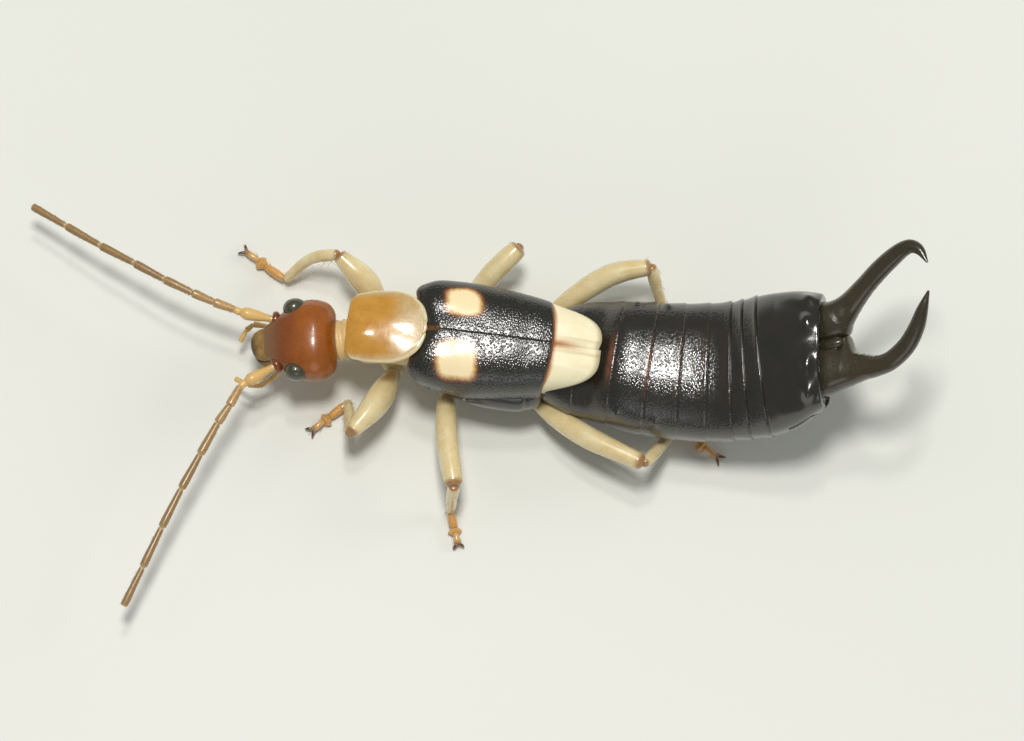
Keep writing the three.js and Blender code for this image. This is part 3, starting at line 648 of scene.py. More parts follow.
def collar_shape(centre, axis, reach, thick):
    """A swollen ring round an axis: a small circle carried round a larger one."""
    side = np.cross(axis, [0, 0, 1.0])
    side /= np.linalg.norm(side)
    third = np.cross(side, axis)
    a = np.linspace(0, 2 * math.pi, 49)[:, None]
    b = np.linspace(0, 2 * math.pi, 20, endpoint=False)[None, :]
    out = reach + thick * np.cos(b)
    ring = (out * np.cos(a))[..., None] * side + (out * np.sin(a))[..., None] * third
    ring = ring + (thick * 1.3 * np.sin(b))[..., None] * axis + centre
    return loft(ring, {"front": 0.7, "socket": 0.25}, tips=False)


def eye_shape(side):
    """A bean-like ellipsoid: its section swells outward and its back is a little flatter."""
    t = close_spread(60)[1:-1, None] * math.pi
    a = np.linspace(0, 2 * math.pi, 72, endpoint=False)[None, :]
    x = EYE["long"] * np.sin(t) * np.cos(a) * (1 + 0.08 * np.cos(a))
    y = EYE["wide"] * np.sin(t) * np.sin(a)
    z = EYE["tall"] * np.cos(t) * np.ones_like(a)
    tilt = math.radians(14) * side
    x, y = x * math.cos(tilt) - y * math.sin(tilt), x * math.sin(tilt) + y * math.cos(tilt)
    centre = np.array([-EYE["forward"] + 0.01, side * EYE["out"], EYE["up"]])
    return loft(head_place(np.stack([x, y, z], -1) + centre))


def lip_shape():
    """The upper lip and jaws: a narrowing tongue over two jaws, with a chin below."""
    def lip_size(t, a):
        """Half width and height on smooth falling curves, swollen by a cosine."""
        width = blend(t, [0, 0.3, 0.6, 0.85, 0.96, 1], [0.44, 0.45, 0.42, 0.3, 0.17, 0.04])
        height = blend(t, [0, 0.3, 0.6, 0.85, 0.96, 1], [0.24, 0.23, 0.19, 0.13, 0.08, 0.02])
        return width, height * (1 + 0.12 * np.cos(2 * a))
    line = head_place(np.array([[-1.6, -0.02, -0.1], [-1.98, -0.06, -0.17], [-2.29, -0.1, -0.25]]))
    made = tube(line, lip_size, 60, 48, 0.9, masks={"tip": lambda t: step(t, 0.6, 1.0)})
    for side in (-1, 1):
        jaw = head_place(np.array([[-1.6, side * 0.42 - 0.06, -0.34], [-1.95, side * 0.36 - 0.08, -0.4],
                                   [-2.2, side * 0.1 - 0.1, -0.42]]))
        made = made + tube(jaw, lambda t, a: (0.16 * (1 - 0.7 * t ** 2),
                                              0.15 * (1 - 0.7 * t ** 2)), 36, 20,
                           masks={"tip": lambda t: step(t, 0.2, 0.9)})
    chin = head_place(np.array([[-1.4, -0.03, -0.52], [-1.8, -0.06, -0.5], [-2.08, -0.09, -0.46]]))
    return made + knob(chin, 0.34, 0.11, 0.3, 30, 24)


# Feelers and palps

def ring_of_feeler(start, end, thick, reach, rings, sides):
    """One ring: slender at its root, widest near its far end, with a pale collar."""
    def size(t, a):
        """Half width on a smooth curve, drawn in at both ends as a quarter circle is."""
        r = thick * blend(t, [0, 0.25, 0.5, 0.75, 1], [0.8, 0.88, 0.97, 1.06, 1.04])
        r = r * round_ends(t, 0.06, 0.62)
        return r, r
    masks = {
        "joint": lambda t: np.clip(step(t, 0.08, 0.01) + step(t, 0.95, 0.995), 0, 1),
        "reach": lambda t: reach,
    }
    start, end = np.array(start), np.array(end)
    line = [start, start * 0.5 + end * 0.5, end]
    return tube(line, size, rings, sides, masks=masks)


def scape_shape(joints):
    """The first long joint with its round collar in the socket, and the small second one."""
    a, b, c = np.array(joints[:3])
    along = towards(a, b)

    def size(t, angle):
        """Half width on a smooth curve: a neck, a swelling and a narrower end."""
        r = blend(t, [0, 0.08, 0.2, 0.6, 0.9, 1], [0.1, 0.12, 0.1, 0.155, 0.15, 0.09])
        return r, r
    masks = {"joint": lambda t: step(t, 0.95, 1.0) * 0.5}
    made = tube([a - along * 0.08, (a + b) / 2, b], size, 40, 28, masks=masks)
    collar = knob([a - along * 0.16, a - along * 0.05, a + along * 0.06], 0.17, 0.17, 0.4, 20, 28)
    small = knob([b - along * 0.02, (b + c) / 2, c + along * 0.02], 0.105, 0.105, 0.3, 18, 24, 0.6)
    return made + collar + small


def feeler_shape(joints):
    """The whip: its rings one after another, thinning slightly to the tip."""
    rings = []
    for k in range(2, len(joints) - 1):
        share = (k - 2) / (len(joints) - 3)
        rings.append(ring_of_feeler(joints[k], joints[k + 1], 0.118 - 0.022 * share,
                                    min(0.05 + share * 2.4, 1.0), 34, 20))
    return joined(rings)


def palp_shape(joints):
    """A palp: four thin rings one after another, each a little thinner."""
    return joined(ring_of_feeler(joints[k], joints[k + 1], 0.085 - 0.006 * k, 0.1, 20, 16)
                  for k in range(len(joints) - 1))


# Chest

def shield_shape():
    """The pronotum: straight in front, rounded behind, arched across with a swollen disc in
    its front half and thin upturned margins."""
    front, back, wide = -5.19, -3.14, 1.01

    def half_width(u):
        """Half width along the shield: a smooth curve through eight values."""
        return wide * blend(u, [0, 0.06, 0.2, 0.45, 0.7, 0.85, 0.94, 1.0],
                            [0.7, 0.84, 0.94, 1.0, 0.96, 0.8, 0.56, 0.2])

    def surface(u, v):
        """Height: a sine rise to the back, less a square and a fourth power across, plus bells."""
        s = 2 * v - 1
        y = -0.11 + 0.1 * u + s * half_width(u)
        rounding = 0.07 * (1 - s ** 2) * step(u, 0.6, 1.0)
        x = front + (back - front) * u - 0.03 * (1 - s ** 2) * (1 - u) + rounding
        across = (y + 0.06) / wide
        disc = 0.06 * bell(across, 0.55) * bell(u - 0.32, 0.36)
        disc = disc + 0.06 * bell(across + 0.3, 0.24) * bell(u - 0.2, 0.12)
        arch = (0.16 - 0.13 * u) * across ** 2 + (0.16 - 0.1 * u) * across ** 4 + 0.06 * across
        z = 2.74 + 0.3 * np.sin(1.75 * u) - arch + disc
        upturn = 0.05 * np.abs(s) ** 10 + 0.03 * step(u, 0.94, 1.0)
        return np.stack([x, y, z + upturn - 0.04 * step(u, 0.1, 0.0)], -1)

    def margin(u, v):
        """1 near the sides and behind, with soft steps down to 0 on the disc."""
        s = np.abs(2 * v - 1)
        side = step(s, 0.78 - 0.14 * u, 0.96 - 0.12 * u)
        rear = step(u, 0.5, 0.74)
        return np.clip(np.maximum(side, rear * 0.9), 0, 1) * step(u, 0.0, 0.12)

    # On the shield, the rim mask carries a painted sparkle highlight as well as the pale edge.
    masks = {"margin": margin, "seam": lambda u, v: bell(2 * v - 1, 0.03) * step(u, 0.7, 0.5) * 0.5,
             "rim": lambda u, v: np.maximum(step(np.abs(2 * v - 1), 0.88, 0.98), step(u, 0.93, 0.99))}
    return plate(surface, 0.07, 150, 130, masks)


def neck_shape():
    """A soft tube with folds: half width and height grow in a straight line along it, and a
    sine wave is added."""
    def size(t, a):
        """The straight line and the sine wave."""
        fold = 0.02 * np.sin(t * 40)
        return 0.52 + 0.05 * t + fold, 0.4 + 0.06 * t + fold
    return tube([[-5.75, -0.42, 1.72], [-5.2, -0.3, 1.85], [-4.6, -0.16, 1.85]], size, 90, 56)


def chest_shape():
    """The first chest ring under the shield, and the lower skin that joins it to the next."""
    def size(t, a):
        """Rounded at both ends, with a cosine of three waves round it."""
        r = round_ends(t, 0.25, 0.5)
        return 0.76 * r, 0.72 * r * (1 + 0.05 * np.cos(3 * a))
    return tube([[-5.0, -0.18, 1.8], [-4.2, -0.06, 1.85], [-3.1, 0, 1.8]], size, 60, 60)


def thorax_shape():
    """The chest under the wing cases: a flattened barrel with two seams."""
    places = [0, 0.15, 0.35, 0.66, 0.86, 1]

    def size(t, a):
        """Smooth curves for width, height and depth, with two narrow bells as seams."""
        wide = blend(t, places, [0.72, 1.1, 1.4, 1.56, 1.52, 1.3])
        up = blend(t, places, [0.5, 0.66, 0.76, 0.8, 0.8, 0.78])
        low = blend(t, places, [0.5, 0.6, 0.66, 0.68, 0.7, 0.72])
        seam = 1 - 0.03 * bell(t - 0.42, 0.012) - 0.03 * bell(t - 0.86, 0.012)
        ends = round_ends(t, 0.04, 0.75)
        return wide * seam * ends, np.where(np.sin(a) > 0, up, low) * seam * ends
    line = [[-3.25, 0, 1.68], [-1.5, -0.08, 1.6], [0.2, -0.04, 1.55]]
    return tube(line, size, 130, 96, 0.9, masks={"pitted": lambda t: 0.3})


# Wing cases and wing tips

def wing_case_shape(side):
    """Half of the arched back. Across it, width and height follow a squared quarter circle
    from the middle line down to the folded edge; in front the shoulder is round and the
    inner corner is cut back; behind, the edge is nearly straight."""
    length = WING_CASE["back"] - WING_CASE["front"]

    def surface(u, v):
        """Across: powers of sine and cosine of one angle; along: squares, a cube and bells."""
        phi = v * WING_CASE_ARC
        share = bent(np.sin(phi), 0.78)
        width = WING_CASE["half_width"] * blend(
            u, [0, 0.1, 0.25, 0.45, 0.7, 0.9, 1.0], [0.93, 1.0, 1.02, 1.01, 0.96, 0.89, 0.84])
        width = width - 0.07 * bell(u - 0.12, 0.14) * (side < 0)
        y = 0.005 + (width - 0.005) * share
        inwards = 0.4 * np.clip(1 - share / 0.75, 0, 1) ** 1.3
        outwards = np.clip((share - 0.75) / 0.25, 0, 1)
        corner = 0.5 * (1 - np.sqrt(1 - outwards ** 2 + 1e-9))
        low = 0.25 * step(v, 0.8, 1.0)
        x = WING_CASE["front"] + length * u + (inwards + corner + low) * (1 - u) ** 2
        x = x - 0.17 * share ** 2 * u
        fall = 0.1 * (1 - u) ** 2 + 0.07 * u ** 3
        height = WING_CASE["height"] * bent(np.cos(phi), 0.74)
        z = BACK_TOP - WING_CASE["height"] - fall + height
        z = z - 0.022 * bell(y, 0.022) + 0.004 * bell(y - 0.13, 0.05) * step(u, 0.02, 0.2)
        z = z - 0.17 * bell(u, 0.07) - 0.035 * bell(y - 0.45, 0.2) * bell(u - 0.12, 0.14)
        points = np.stack([x, side * y, z], -1)
        points[..., 2] += 0.008 * ripple(points, 0.8, 3)
        return points

    def spot(u, v):
        """1.6 less the distance from the middle in a squared oval, made ragged by soft noise."""
        p = surface(u, v)
        x, y = p[..., 0], np.abs(p[..., 1])
        if side > 0:
            dx, dy, wide, tall = x + 2.17, y - 0.8, 0.53, 0.41
        else:
            dx, dy, wide, tall = x + 2.2, y - 0.76, 0.55, 0.52
        slant = -side * 0.1 * dy
        reach = (np.abs((dx - slant) / wide) ** 3.4 + np.abs(dy / tall) ** 3.4) ** (1 / 3.4)
        return np.clip(1.6 - reach + 0.06 * ripple(p, 0.45, 11 + side), 0, 1)

    def rim(u, v):
        """Soft steps at the rear and front edges and a bell at the start of the seam."""
        rear = step(u, 0.978, 0.992)
        fore = step(u, 0.03, 0.008) * step(v, 0.02, 0.1) * step(v, 0.75, 0.5)
        seam = bell(v, 0.012) * step(u, 0.2, 0.02) * 0.8
        return np.clip(rear * 0.7 + fore * 0.4 + seam, 0, 1)

    return plate(surface, 0.055, 240, 190, {"spot": spot, "rim": rim}, inner=0.004)


def wing_tip_shape(side):
    """A folded hind wing: the same arch, lower, with its outline drawn to a blunt tip, two
    raised folds along it and a fine rim."""
    length = WING_TIP["back"] - WING_TIP["front"]

    def surface(u, v):
        """The same powers of sine and cosine, shortened by a power of the share across."""
        phi = v * WING_TIP_ARC
        share = bent(np.sin(phi), 0.8)
        half_width = WING_TIP["half_width"] - 0.07 * (side < 0)
        y = half_width * share * (1 - 0.05 * u) - 0.012 * (side > 0) + 0.002
        cut, power = (0.95, 4.0) if side > 0 else (0.9, 4.6)
        reach = length * (1 - cut * share ** power) - 0.06 * bell(share, 0.14) * (side > 0)
        x = WING_TIP["front"] + reach * u
        z = BACK_TOP - 0.15 - WING_TIP["height"] + WING_TIP["height"] * bent(np.cos(phi), 0.8)
        z = z - 0.2 * u ** 2 - 0.03 * bell(y, 0.03)
        z = (z + 0.018 * bell(y - 0.14, 0.06) + 0.008 * bell(y - 0.55 - 0.1 * u, 0.06)
             + 0.012 * (side > 0))
        z = z + 0.003 * np.sin(share * 34) * step(u, 0.4, 0.9)
        points = np.stack([x, side * y, z], -1)
        points[..., 2] += 0.01 * ripple(points, 0.5, 5)
        return points

    masks = {
        "grey": lambda u, v: np.clip(step(u, 0.86, 0.99) + step(v, 0.7, 1.0) * 0.4
                                     + 0.35 * bell(v - 0.06, 0.02) * step(u, 0.2, 0.6), 0, 1),
        "brown": lambda u, v: np.clip(
            step(u, 0.22, 0.14) * 0.9 + bell(v, 0.04) * step(u, 0.85, 0.2) * 0.9, 0, 1),
    }
    return plate(surface, 0.045, 130, 140, masks, inner=0.006)


# Hind body

def hind_ring(x, a, grow):
    """Points of the hind body at stations x and angles a: a squared oval round its middle
    line, in a plane that turns with the heading and leans back as the body climbs."""
    where = HIND_BODY[:, 0]
    body = blend(x, where, HIND_BODY)
    ahead = blend(x + 0.03, where, HIND_BODY) - blend(x - 0.03, where, HIND_BODY)
    heading = ahead[..., 1] / (ahead[..., 0] + 1e-9) * (1 - 0.5 * step(x, 6.0, 7.4))
    climb = ahead[..., 2] / (ahead[..., 0] + 1e-9)
    s = np.sin(a)
    out = bent(np.cos(a), 0.92) * (body[..., 3] + grow)
    up = bent(s, 0.92) * (np.where(s > 0, body[..., 4], body[..., 5]) + grow)
    return np.stack([x - heading * out - LEAN * climb * up, body[..., 1] + out, body[..., 2] + up], -1)


def hind_body_shape():
    """One skin of overlapping plates: round each plate the section grows a little towards
    the plate's rear edge and drops behind it; a fold runs along each side; the last plate
    bears four low swellings, is cut off straight, and is closed by shrinking rings."""
    where = HIND_BODY[:, 0]
    slope = np.gradient(HIND_BODY[:, 2], where)
    edges = RING_EDGES + LEAN * np.interp(RING_EDGES, where, slope * HIND_BODY[:, 4])
    edges[0], edges[-1] = RING_EDGES[0], BODY_END + 0.2
    x = [np.linspace(a + 1e-4, b - 1e-4, max(24, int((b - a) / 0.016)))
         for a, b in zip(edges[:-1], np.minimum(edges[1:], BODY_END))]
    x += [e + np.array([-0.02, -0.012, -0.006, 0.006, 0.012]) for e in edges[1:-1]]
    x = np.sort(np.concatenate(x))
    k = np.searchsorted(edges, x, side="right") - 1
    share = (x - edges[k]) / (edges[k + 1] - edges[k])
    behind = edges[k + 1] - x
    tall = np.where((k > 4) & (k < 8), NARROW_PLATE_LIP, PLATE_LIP)
    lip = tall * share ** 2 * np.sqrt(np.clip(behind / 0.05, 0, 1))
    tuck = -PLATE_TUCK * step(x - edges[k], 0.05, 0.0)
    last = step(x, edges[-2] + 0.1, edges[-2] + 0.5)
    x, share, behind, lip, tuck, last = (
        v[:, None] for v in (x, share, behind, np.where(k < 8, lip, 0), tuck, last))
    a = np.linspace(0, 2 * math.pi, 176, endpoint=False)[None, :]
    c, s = np.cos(a), np.sin(a)
    fold = 0.035 * (bell(s + 0.34, 0.05) - 0.5 * bell(s + 0.2, 0.09))
    groove = 0.03 * bell(c - 0.02, 0.13) * step(s, 0, 0.5) * step(x, 6.3, 7.3)
    humps = ((-0.3, 1, 0.16), (0.34, 1, 0.16), (-0.72, 1.1, 0.12), (0.76, 0.8, 0.12))
    swell = 0.12 * bell(x - 7.25, 0.16) * step(s, 0.2, 0.6) * sum(
        high * bell(c - at, wide) for at, high, wide in humps)
    knob = sum(0.05 * bell(x - px, 0.09) * bell(np.abs(c) - 0.88, 0.05) * (s > 0) for px in (2.35, 3.3))
    dents = 0.012 * np.sin(14 * c + 3 * x) * last * step(s, 0.1, 0.6)
    past = np.clip((x - (BODY_END - 0.05)) / 0.05, 0, 1)
    edge = 0.06 * (1 - np.sqrt(np.clip(1 - past ** 2, 0, 1)))
    rings = hind_ring(x, a, lip + tuck - fold - groove + swell + knob + dents - edge)
    shrink = np.linspace(1, 0, 16)[1:-1]
    middle = rings[-1].mean(0)
    face = [middle + (rings[-1] - middle) * r - np.array([0.2 * (1 - r) * r, 0, 0]) for r in shrink]
    rings = np.concatenate([rings, np.array(face)])

    def padded(value):
        """A mask on the rings, with its last ring repeated over the end."""
        value = np.broadcast_to(value, (len(x), a.shape[1]))
        return np.concatenate([value, np.repeat(value[-1:], len(face), 0)])
    bands = sum(bell(x - px, w) * h for px, w, h in (
        (2.0, 0.06, 1.0), (2.94, 0.055, 0.9), (3.74, 0.07, 0.3), (4.44, 0.06, 0.2), (5.05, 0.06, 0.1)))
    upper = step(s, 0.45, 0.95) * bell(c + 0.1, 0.3)
    front = 0.35 + 0.65 * step(x, 4.6, 3.4)
    masks = {
        "band": padded(np.clip(bands * upper, 0, 1)),
        # The lip mask carries the pale edge lines, partly a painted highlight of the plate edges.
        "lip": padded(step(behind, 0.035, 0.01) * front * step(s, -0.3, 0.2) * (x < 5.5)),
        "pitted": padded(step(x, 6.9, 5.2) * (0.5 + 0.5 * step(s, -0.2, 0.4))),
    }
    return loft(rings, masks)


def last_plate_shape():
    """The lower end plate, a shallow bowl that shows as a thin rim behind and below."""
    def surface(u, v):
        """The section of the hind body, as long as a number less a cube across."""
        angle = math.radians(178) + math.radians(164) * v
        x = 6.5 + (1.2 - 0.55 * np.abs(2 * v - 1) ** 3) * u
        return hind_ring(x, angle, -0.02 * u ** 3)
    return plate(surface, 0.035, 60, 110, {"pitted": lambda u, v: 0 * u})


# Forceps

def arm_shape(stations, inner, tooth_at, tooth_size, saw_size):
    """One arm: rings along its curve, thicker on the inner side near the root, with one
    blunt tooth there, fine teeth after it and a sharp tip."""
    knots = np.arange(len(stations)) / (len(stations) - 1)

    def size(t, a):
        """A smooth curve, with bells for the tooth and the cut-off half of a sine for the saw."""
        r = blend(t, knots, stations[:, 3])
        inward = np.cos(a) * inner
        flange = 1 + 0.12 * step(t, 0.34, 0.12) * np.clip(inward, 0, 1)
        tooth = tooth_size * bell(t - tooth_at, 0.034) * bell(inward - 1, 0.45)
        saw = saw_size * np.clip(np.sin(t * 150), 0, 1) * step(t, 0.22, 0.3) * step(t, 0.56, 0.44)
        saw = saw * bell(inward - 1, 0.2)
        keel = 1 + 0.05 * np.cos(2 * a) * step(t, 0.9, 0.5)
        body = r * flange
        tall = np.minimum(body * 0.9, 0.2 + 0.5 * body) * keel
        return body + tooth + saw, tall
    masks = {"warm": lambda t: 0.6 * bell(t - 0.4, 0.3)}
    return tube(stations[:, :3], size, 220, 72, 0.96, masks=masks)


def pygidium_shape():
    """The small end knob between the arms: an upright oval carried along a short line."""
    line = [[7.3, 0.55, 3.85], [7.66, 0.63, 4.05], [8.04, 0.74, 4.2]]
    return knob(line, 0.17, 0.18, 0.35, 36, 36)


# Legs

def leg_part(points, profile, flat=1.0, rings=60, sides=32, lowest=None, **masks):
    """One length of a leg: a tube whose half width is a smooth curve through its profile,
    drawn in at both ends, times the flatness; its half height is divided by it."""
    def size(t, a):
        """The two half measures."""
        r = blend(t, np.linspace(0, 1, len(profile)), profile) * round_ends(t, 0.05, 0.35)
        return r * flat, r / flat
    return tube(points, size, rings, sides, masks=masks, lowest=lowest)


FEMUR = {
    "front": [0.17, 0.27, 0.345, 0.365, 0.345, 0.3, 0.24, 0.18],
    "middle": [0.17, 0.25, 0.285, 0.3, 0.3, 0.295, 0.28, 0.24],
    "hind": [0.17, 0.26, 0.3, 0.31, 0.305, 0.28, 0.25, 0.22],
}


def leg_shape(name):
    """Coxa, trochanter, femur, shin, three lengths of foot and two hooked claws."""
    root, hip, bow, knee, ankle, claw = np.array(LEGS[name])
    thigh = towards(hip, bow)
    shin = ankle - knee
    bulge = np.array(BOWED_SHINS.get(name, (knee + ankle) / 2 + np.cross(shin, [0, 0, 1]) * 0.03))
    heel = ankle + (claw - ankle) * HEEL_SHARE
    across = np.cross([0, 0, 1.0], towards(heel, claw))

    def on_foot(share, height, out=0):
        """The place at a share of the foot, at a height over the floor and out to a side."""
        place = heel + (claw - heel) * share
        place[2] = height
        return place + across * out
    orange = {"foot": lambda t: 0.8 + 0.2 * t}
    parts = [
        leg_part([root, (root + hip) / 2 - [0, 0, 0.03], hip], [0.2, 0.28, 0.29, 0.25, 0.17]),
        leg_part([hip - thigh * 0.14, hip, hip + thigh * 0.16], [0.14, 0.2, 0.21, 0.16],
                 knee=lambda t: 0.08 * step(t, 0.7, 1.0)),
        leg_part([hip + thigh * 0.08, bow, knee], FEMUR[name.split("_")[0]], 1.0, 110, 40,
                 knee=lambda t: step(t, 0.93, 0.985) * 0.9),
        leg_part([knee - shin * 0.02, bulge, ankle],
                 [0.13, 0.17, 0.165, 0.155, 0.15, 0.14, 0.125], 1.0, 90,
                 knee=lambda t: step(t, 0.07, 0.01) * 0.9 + step(t, 0.95, 1.0) * 0.4),
        leg_part([on_foot(0, 0.22), on_foot(0.24, 0.15), on_foot(0.46, 0.13)],
                 [0.09, 0.115, 0.12, 0.11, 0.08], 1.0, 44, 24, 0.0, **orange),
        leg_part([on_foot(0.44, 0.14), on_foot(0.53, 0.1), on_foot(0.64, 0.09)],
                 [0.07, 0.12, 0.17, 0.14, 0.07], 1.15, 30, 24, 0.0, **orange),
        leg_part([on_foot(0.56, 0.13), on_foot(0.72, 0.17), on_foot(0.88, 0.12)],
                 [0.055, 0.075, 0.08, 0.09, 0.075], 1.0, 40, 20, 0.0,
                 foot=lambda t: 0.7, knee=lambda t: 0.7 * step(t, 0.6, 1.0)),
    ]
    for side in (-1, 1):
        line = [on_foot(0.86, 0.12), on_foot(0.93, 0.15, side * 0.07),
                on_foot(0.985, 0.1, side * 0.14), on_foot(1.0, 0.02, side * 0.15)]
        parts.append(leg_part(line, [0.045, 0.042, 0.034, 0.02, 0.006], 1.0, 30, 14, 0.0,
                              claw=lambda t: step(t, 0.0, 0.3)))
    return joined(parts)


# Bristles

HAIR_THICKNESS = 0.006


def bristles(anchor, outward, length, bend):
    """Tapered bent hairs as three-sided cones of four rings: each starts at its anchor,
    runs along its outward direction and leans over by the bend towards its tip."""
    count = len(anchor)
    outward = outward / np.linalg.norm(outward, axis=1)[:, None]
    side = np.cross(outward, RNG.normal(size=(count, 3)))
    side /= np.linalg.norm(side, axis=1)[:, None]
    third = np.cross(outward, side)
    s = np.array([0, 0.35, 0.7, 1.0])
    centre = (anchor[:, None] + outward[:, None] * (length[:, None] * s)[..., None]
              + bend[:, None] * (length[:, None] * s ** 2)[..., None])
    radius = HAIR_THICKNESS * np.array([1, 0.8, 0.5, 0.12])
    a = np.arange(3) * 2 * math.pi / 3
    ring = np.cos(a)[None, :, None] * side[:, None] + np.sin(a)[None, :, None] * third[:, None]
    points = centre[:, :, None] + ring[:, None] * radius[None, :, None, None]
    points = points.reshape(-1, 3)
    k, j = np.meshgrid(np.arange(3), np.arange(3), indexing="ij")
    quad = np.stack([k * 3 + j, k * 3 + (j + 1) % 3, (k + 1) * 3 + (j + 1) % 3, (k + 1) * 3 + j], -1)
    quads = (quad.reshape(1, -1, 4) + 12 * np.arange(count)[:, None, None]).reshape(-1, 4)
    caps = np.array([[2, 1, 0], [9, 10, 11]])
    tris = (caps[None] + 12 * np.arange(count)[:, None, None]).reshape(-1, 3)
    return Shape(points, quads, tris, {})


def hairs_along(line, radius, count, length, lean):
    """Hairs set at random round a limb, leaning towards its far end."""
    order = np.sort(RNG.uniform(0.05, 0.97, count))
    _, centre, along, across, over = path_frames(line, count, order)
    angle = RNG.uniform(0, 2 * math.pi, count)
    out = across * np.cos(angle)[:, None] + over * np.sin(angle)[:, None]
    anchor = centre + out * radius * 0.9
    size = length * RNG.uniform(0.6, 1.15, count)
    return bristles(anchor, out * (1 - lean) + along * lean, size, along * 0.25)


def all_bristles():
    """Hairs on thighs, shins and feet and on every ring of the feelers."""
    parts = []
    for places in LEGS.values():
        _, hip, bow, knee, ankle, claw = np.array(places)
        heel = ankle + (claw - ankle) * HEEL_SHARE
        foot = [heel * [1, 1, 0] + [0, 0, 0.16], (heel + claw) / 2 * [1, 1, 0] + [0, 0, 0.12],
                claw * [1, 1, 0] + [0, 0, 0.12]]
        parts.append(hairs_along([knee, (knee + ankle) / 2, ankle], 0.15, 70, 0.15, 0.6))
        parts.append(hairs_along(foot, 0.1, 60, 0.11, 0.55))
        parts.append(hairs_along([hip, bow, knee], 0.27, 30, 0.12, 0.7))
    for joints in FEELERS.values():
        for start, end in zip(joints[2:], joints[3:]):
            parts.append(hairs_along([start, np.add(start, end) / 2, end], 0.1, 46, 0.075, 0.6))
    return joined(parts)


# Everything put together

SEAM_WELD = 1e-4
head_shell = head_finish()
feeler_shell = feeler_finish("feeler_shell", (0.55, 0.34, 0.13), (0.32, 0.195, 0.07),
                              (0.52, 0.38, 0.2), 0.45)
feeler_root_shell = feeler_finish("feeler_root_shell", (0.72, 0.46, 0.155), (0.62, 0.35, 0.1),
                                   (0.5, 0.3, 0.12), 0.12)
body_shell = body_finish()
horn = forceps_finish()
leg_shell = leg_finish()
skin = skin_finish()
case_shell = wing_case_finish()
leaf = wing_finish()
eye_facets = eye_finish()

piece("head_skin", head_shape(), head_shell, "head_cuticle", "head")
piece("lips", lip_shape(), lip_finish(), "mouth_cuticle", "mouthparts")
for side, sign in (("left", -1), ("right", 1)):
    piece(f"eye_ball_{side}", eye_shape(sign), eye_facets, "eye_surface", f"eye_{side}")
    joints = FEELERS[side]
    piece(f"feeler_root_{side}", scape_shape(joints), feeler_root_shell, "feeler_base_cuticle",
          f"scape_{side}")
    piece(f"feeler_rings_{side}", feeler_shape(joints), feeler_shell, "feeler_cuticle",
          f"feeler_{side}")
    piece(f"palp_rings_{side}", palp_shape(PALPS[side]), feeler_root_shell, "feeler_base_cuticle",
          f"palp_{side}")
    piece(f"wing_case_shell_{side}", wing_case_shape(sign), case_shell, "wing_case_cuticle",
          f"wing_case_{side}", weld=SEAM_WELD)
    piece(f"wing_leaf_{side}", wing_tip_shape(sign), leaf, "wing_membrane", f"wing_{side}",
          weld=SEAM_WELD)
piece("shield", shield_shape(), shield_finish(), "shield_cuticle", "pronotum", weld=SEAM_WELD)
piece("neck_skin", neck_shape(), skin, "shield_cuticle", "neck")
piece("chest_skin", chest_shape(), skin, "shield_cuticle", "prothorax")
piece("chest_barrel", thorax_shape(), body_shell, "body_cuticle", "thorax")
piece("hind_body", hind_body_shape(), body_shell, "body_cuticle", "abdomen_front",
      "abdomen_rear", "abdomen_tip")
piece("last_plate", last_plate_shape(), body_shell, "body_cuticle", weld=SEAM_WELD)
piece("end_knob", pygidium_shape(), horn, "forceps_cuticle", "pygidium")
piece("forceps_arm_right", arm_shape(RIGHT_ARM, -1, 0.16, 0.06, 0.006), horn, "forceps_cuticle",
      "forceps_right")
piece("forceps_arm_left", arm_shape(LEFT_ARM, 1, 0.225, 0.42, 0.018), horn, "forceps_cuticle",
      "forceps_left")
for place in LEGS:
    piece(f"leg_{place}", leg_shape(place), leg_shell, "leg_cuticle", f"coxa_{place}",
          f"femur_{place}", f"tibia_{place}", f"tarsus_{place}")
hair = Finish("bristle", Roughness=0.5)
hair.set("Base Color", hair.mix(hair.noise(0.3), (0.4, 0.24, 0.09), (0.55, 0.38, 0.17)))
piece("bristles", all_bristles(), hair.material, "leg_cuticle")


# Floor, camera and light

FLOOR_REACH = 0.6
FLOOR_DROP = 2e-5
SKY_COLOUR = (0.93, 0.96, 0.92, 1)
SKY_STRENGTH = 0.23
WARM = (1, 0.985, 0.95)
COOL = (0.97, 0.98, 1)


def floor():
    """A square card under the feet, with a very large and faint cloud in its colour."""
    mesh = bpy.data.meshes.new("floor")
    corners = [(x * FLOOR_REACH, y * FLOOR_REACH, 0) for x, y in ((-1, -1), (1, -1), (1, 1), (-1, 1))]
    mesh.from_pydata(corners, [], [(0, 1, 2, 3)])
    finish = Finish("floor_card", Roughness=0.85)
    finish.set("Base Color", finish.mottle(40, 2, (0.72, 0.73, 0.68), (0.78, 0.78, 0.74)))
    mesh.materials.append(finish.material)
    made = placed("floor", mesh)
    made.location.z = -FLOOR_DROP


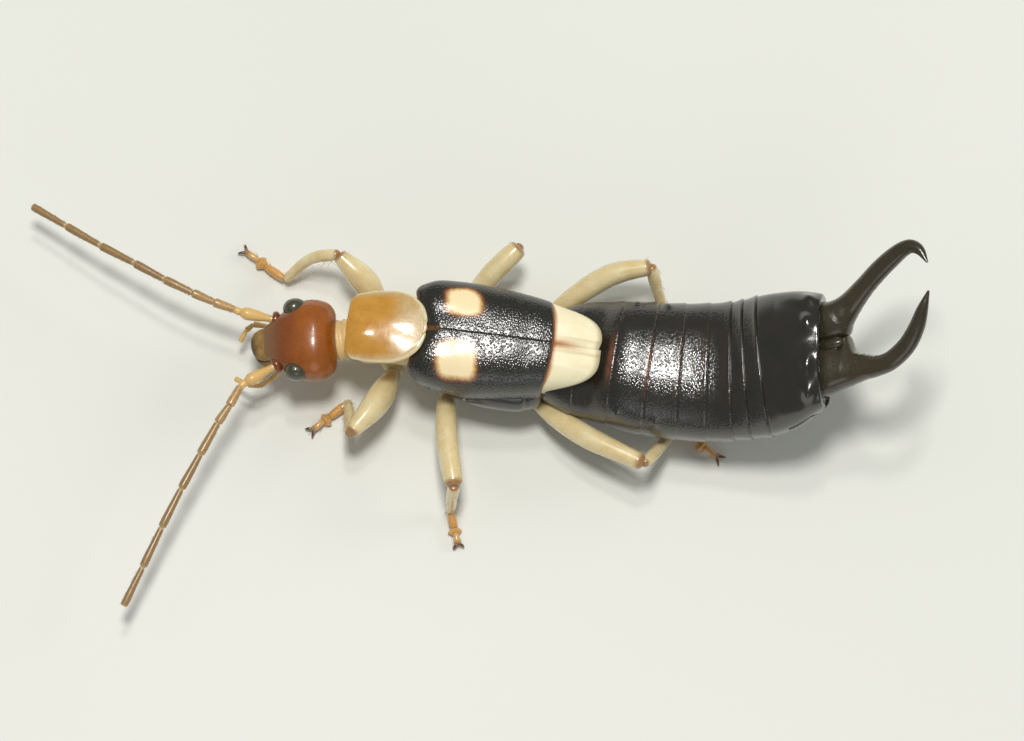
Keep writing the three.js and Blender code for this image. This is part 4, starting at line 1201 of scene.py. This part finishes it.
VIEW_RISE = math.radians(76)
VIEW_ROLL = math.radians(7)
VIEW_MIDDLE = np.array([-0.678, -0.6, 1.9])
VIEW_WIDTH = 27.44
LENS, SENSOR = 500.0, 36.0


def camera():
    """A long lens over the animal's left side, rolled so that the body slopes to the right."""
    data = bpy.data.cameras.new("camera")
    data.lens, data.sensor_width = LENS, SENSOR
    data.clip_start, data.clip_end = 0.05, 5
    made = placed("camera", data)
    back = np.array([0, -math.cos(VIEW_RISE), math.sin(VIEW_RISE)])
    level = np.array([1.0, 0, 0])
    upward = np.cross(back, level)
    c, s = math.cos(VIEW_ROLL), math.sin(VIEW_ROLL)
    right = c * level + s * upward
    over = -s * level + c * upward
    place = (VIEW_MIDDLE + SHIFT) * MM + back * VIEW_WIDTH * MM * LENS / SENSOR
    turn = Matrix(np.stack([right, over, back], 1).tolist()).to_4x4()
    made.matrix_world = Matrix.Translation(Vector(place)) @ turn
    bpy.context.scene.camera = made


def lamp(name, place, size, power, colour, shines=True):
    """A round soft lamp that looks at the animal; one that only fills shows in no gloss."""
    data = bpy.data.lights.new(name, "AREA")
    data.shape = "DISK"
    data.size, data.energy, data.color = size, power, colour
    made = placed(name, data)
    made.location = place
    made.rotation_mode = "QUATERNION"
    made.rotation_quaternion = (-Vector(place)).to_track_quat("-Z", "Y")
    made.visible_camera = False
    made.visible_glossy = shines


def light():
    """Two round lamps overhead, three that fill the sides, and a pale even sky."""
    lamp("key", (-0.03, 0.05, 0.49), 0.1, 1.5, WARM)
    lamp("second", (-0.03, 0.17, 0.46), 0.05, 0.32, WARM)
    lamp("head_side", (-0.31, 0.075, 0.385), 0.2, 0.08, (0.95, 0.98, 1), shines=False)
    lamp("near_side", (0.06, -0.37, 0.22), 0.26, 0.16, COOL)
    lamp("rim", (0.3, 0.14, 0.16), 0.16, 0.3, (1, 1, 0.97), shines=False)
    world = bpy.data.worlds.new("studio")
    world.use_nodes = True
    sky = world.node_tree.nodes["Background"].inputs
    sky[0].default_value = SKY_COLOUR
    sky[1].default_value = SKY_STRENGTH
    bpy.context.scene.world = world
    bpy.context.scene.view_settings.view_transform = "Standard"


floor()
camera()
light()
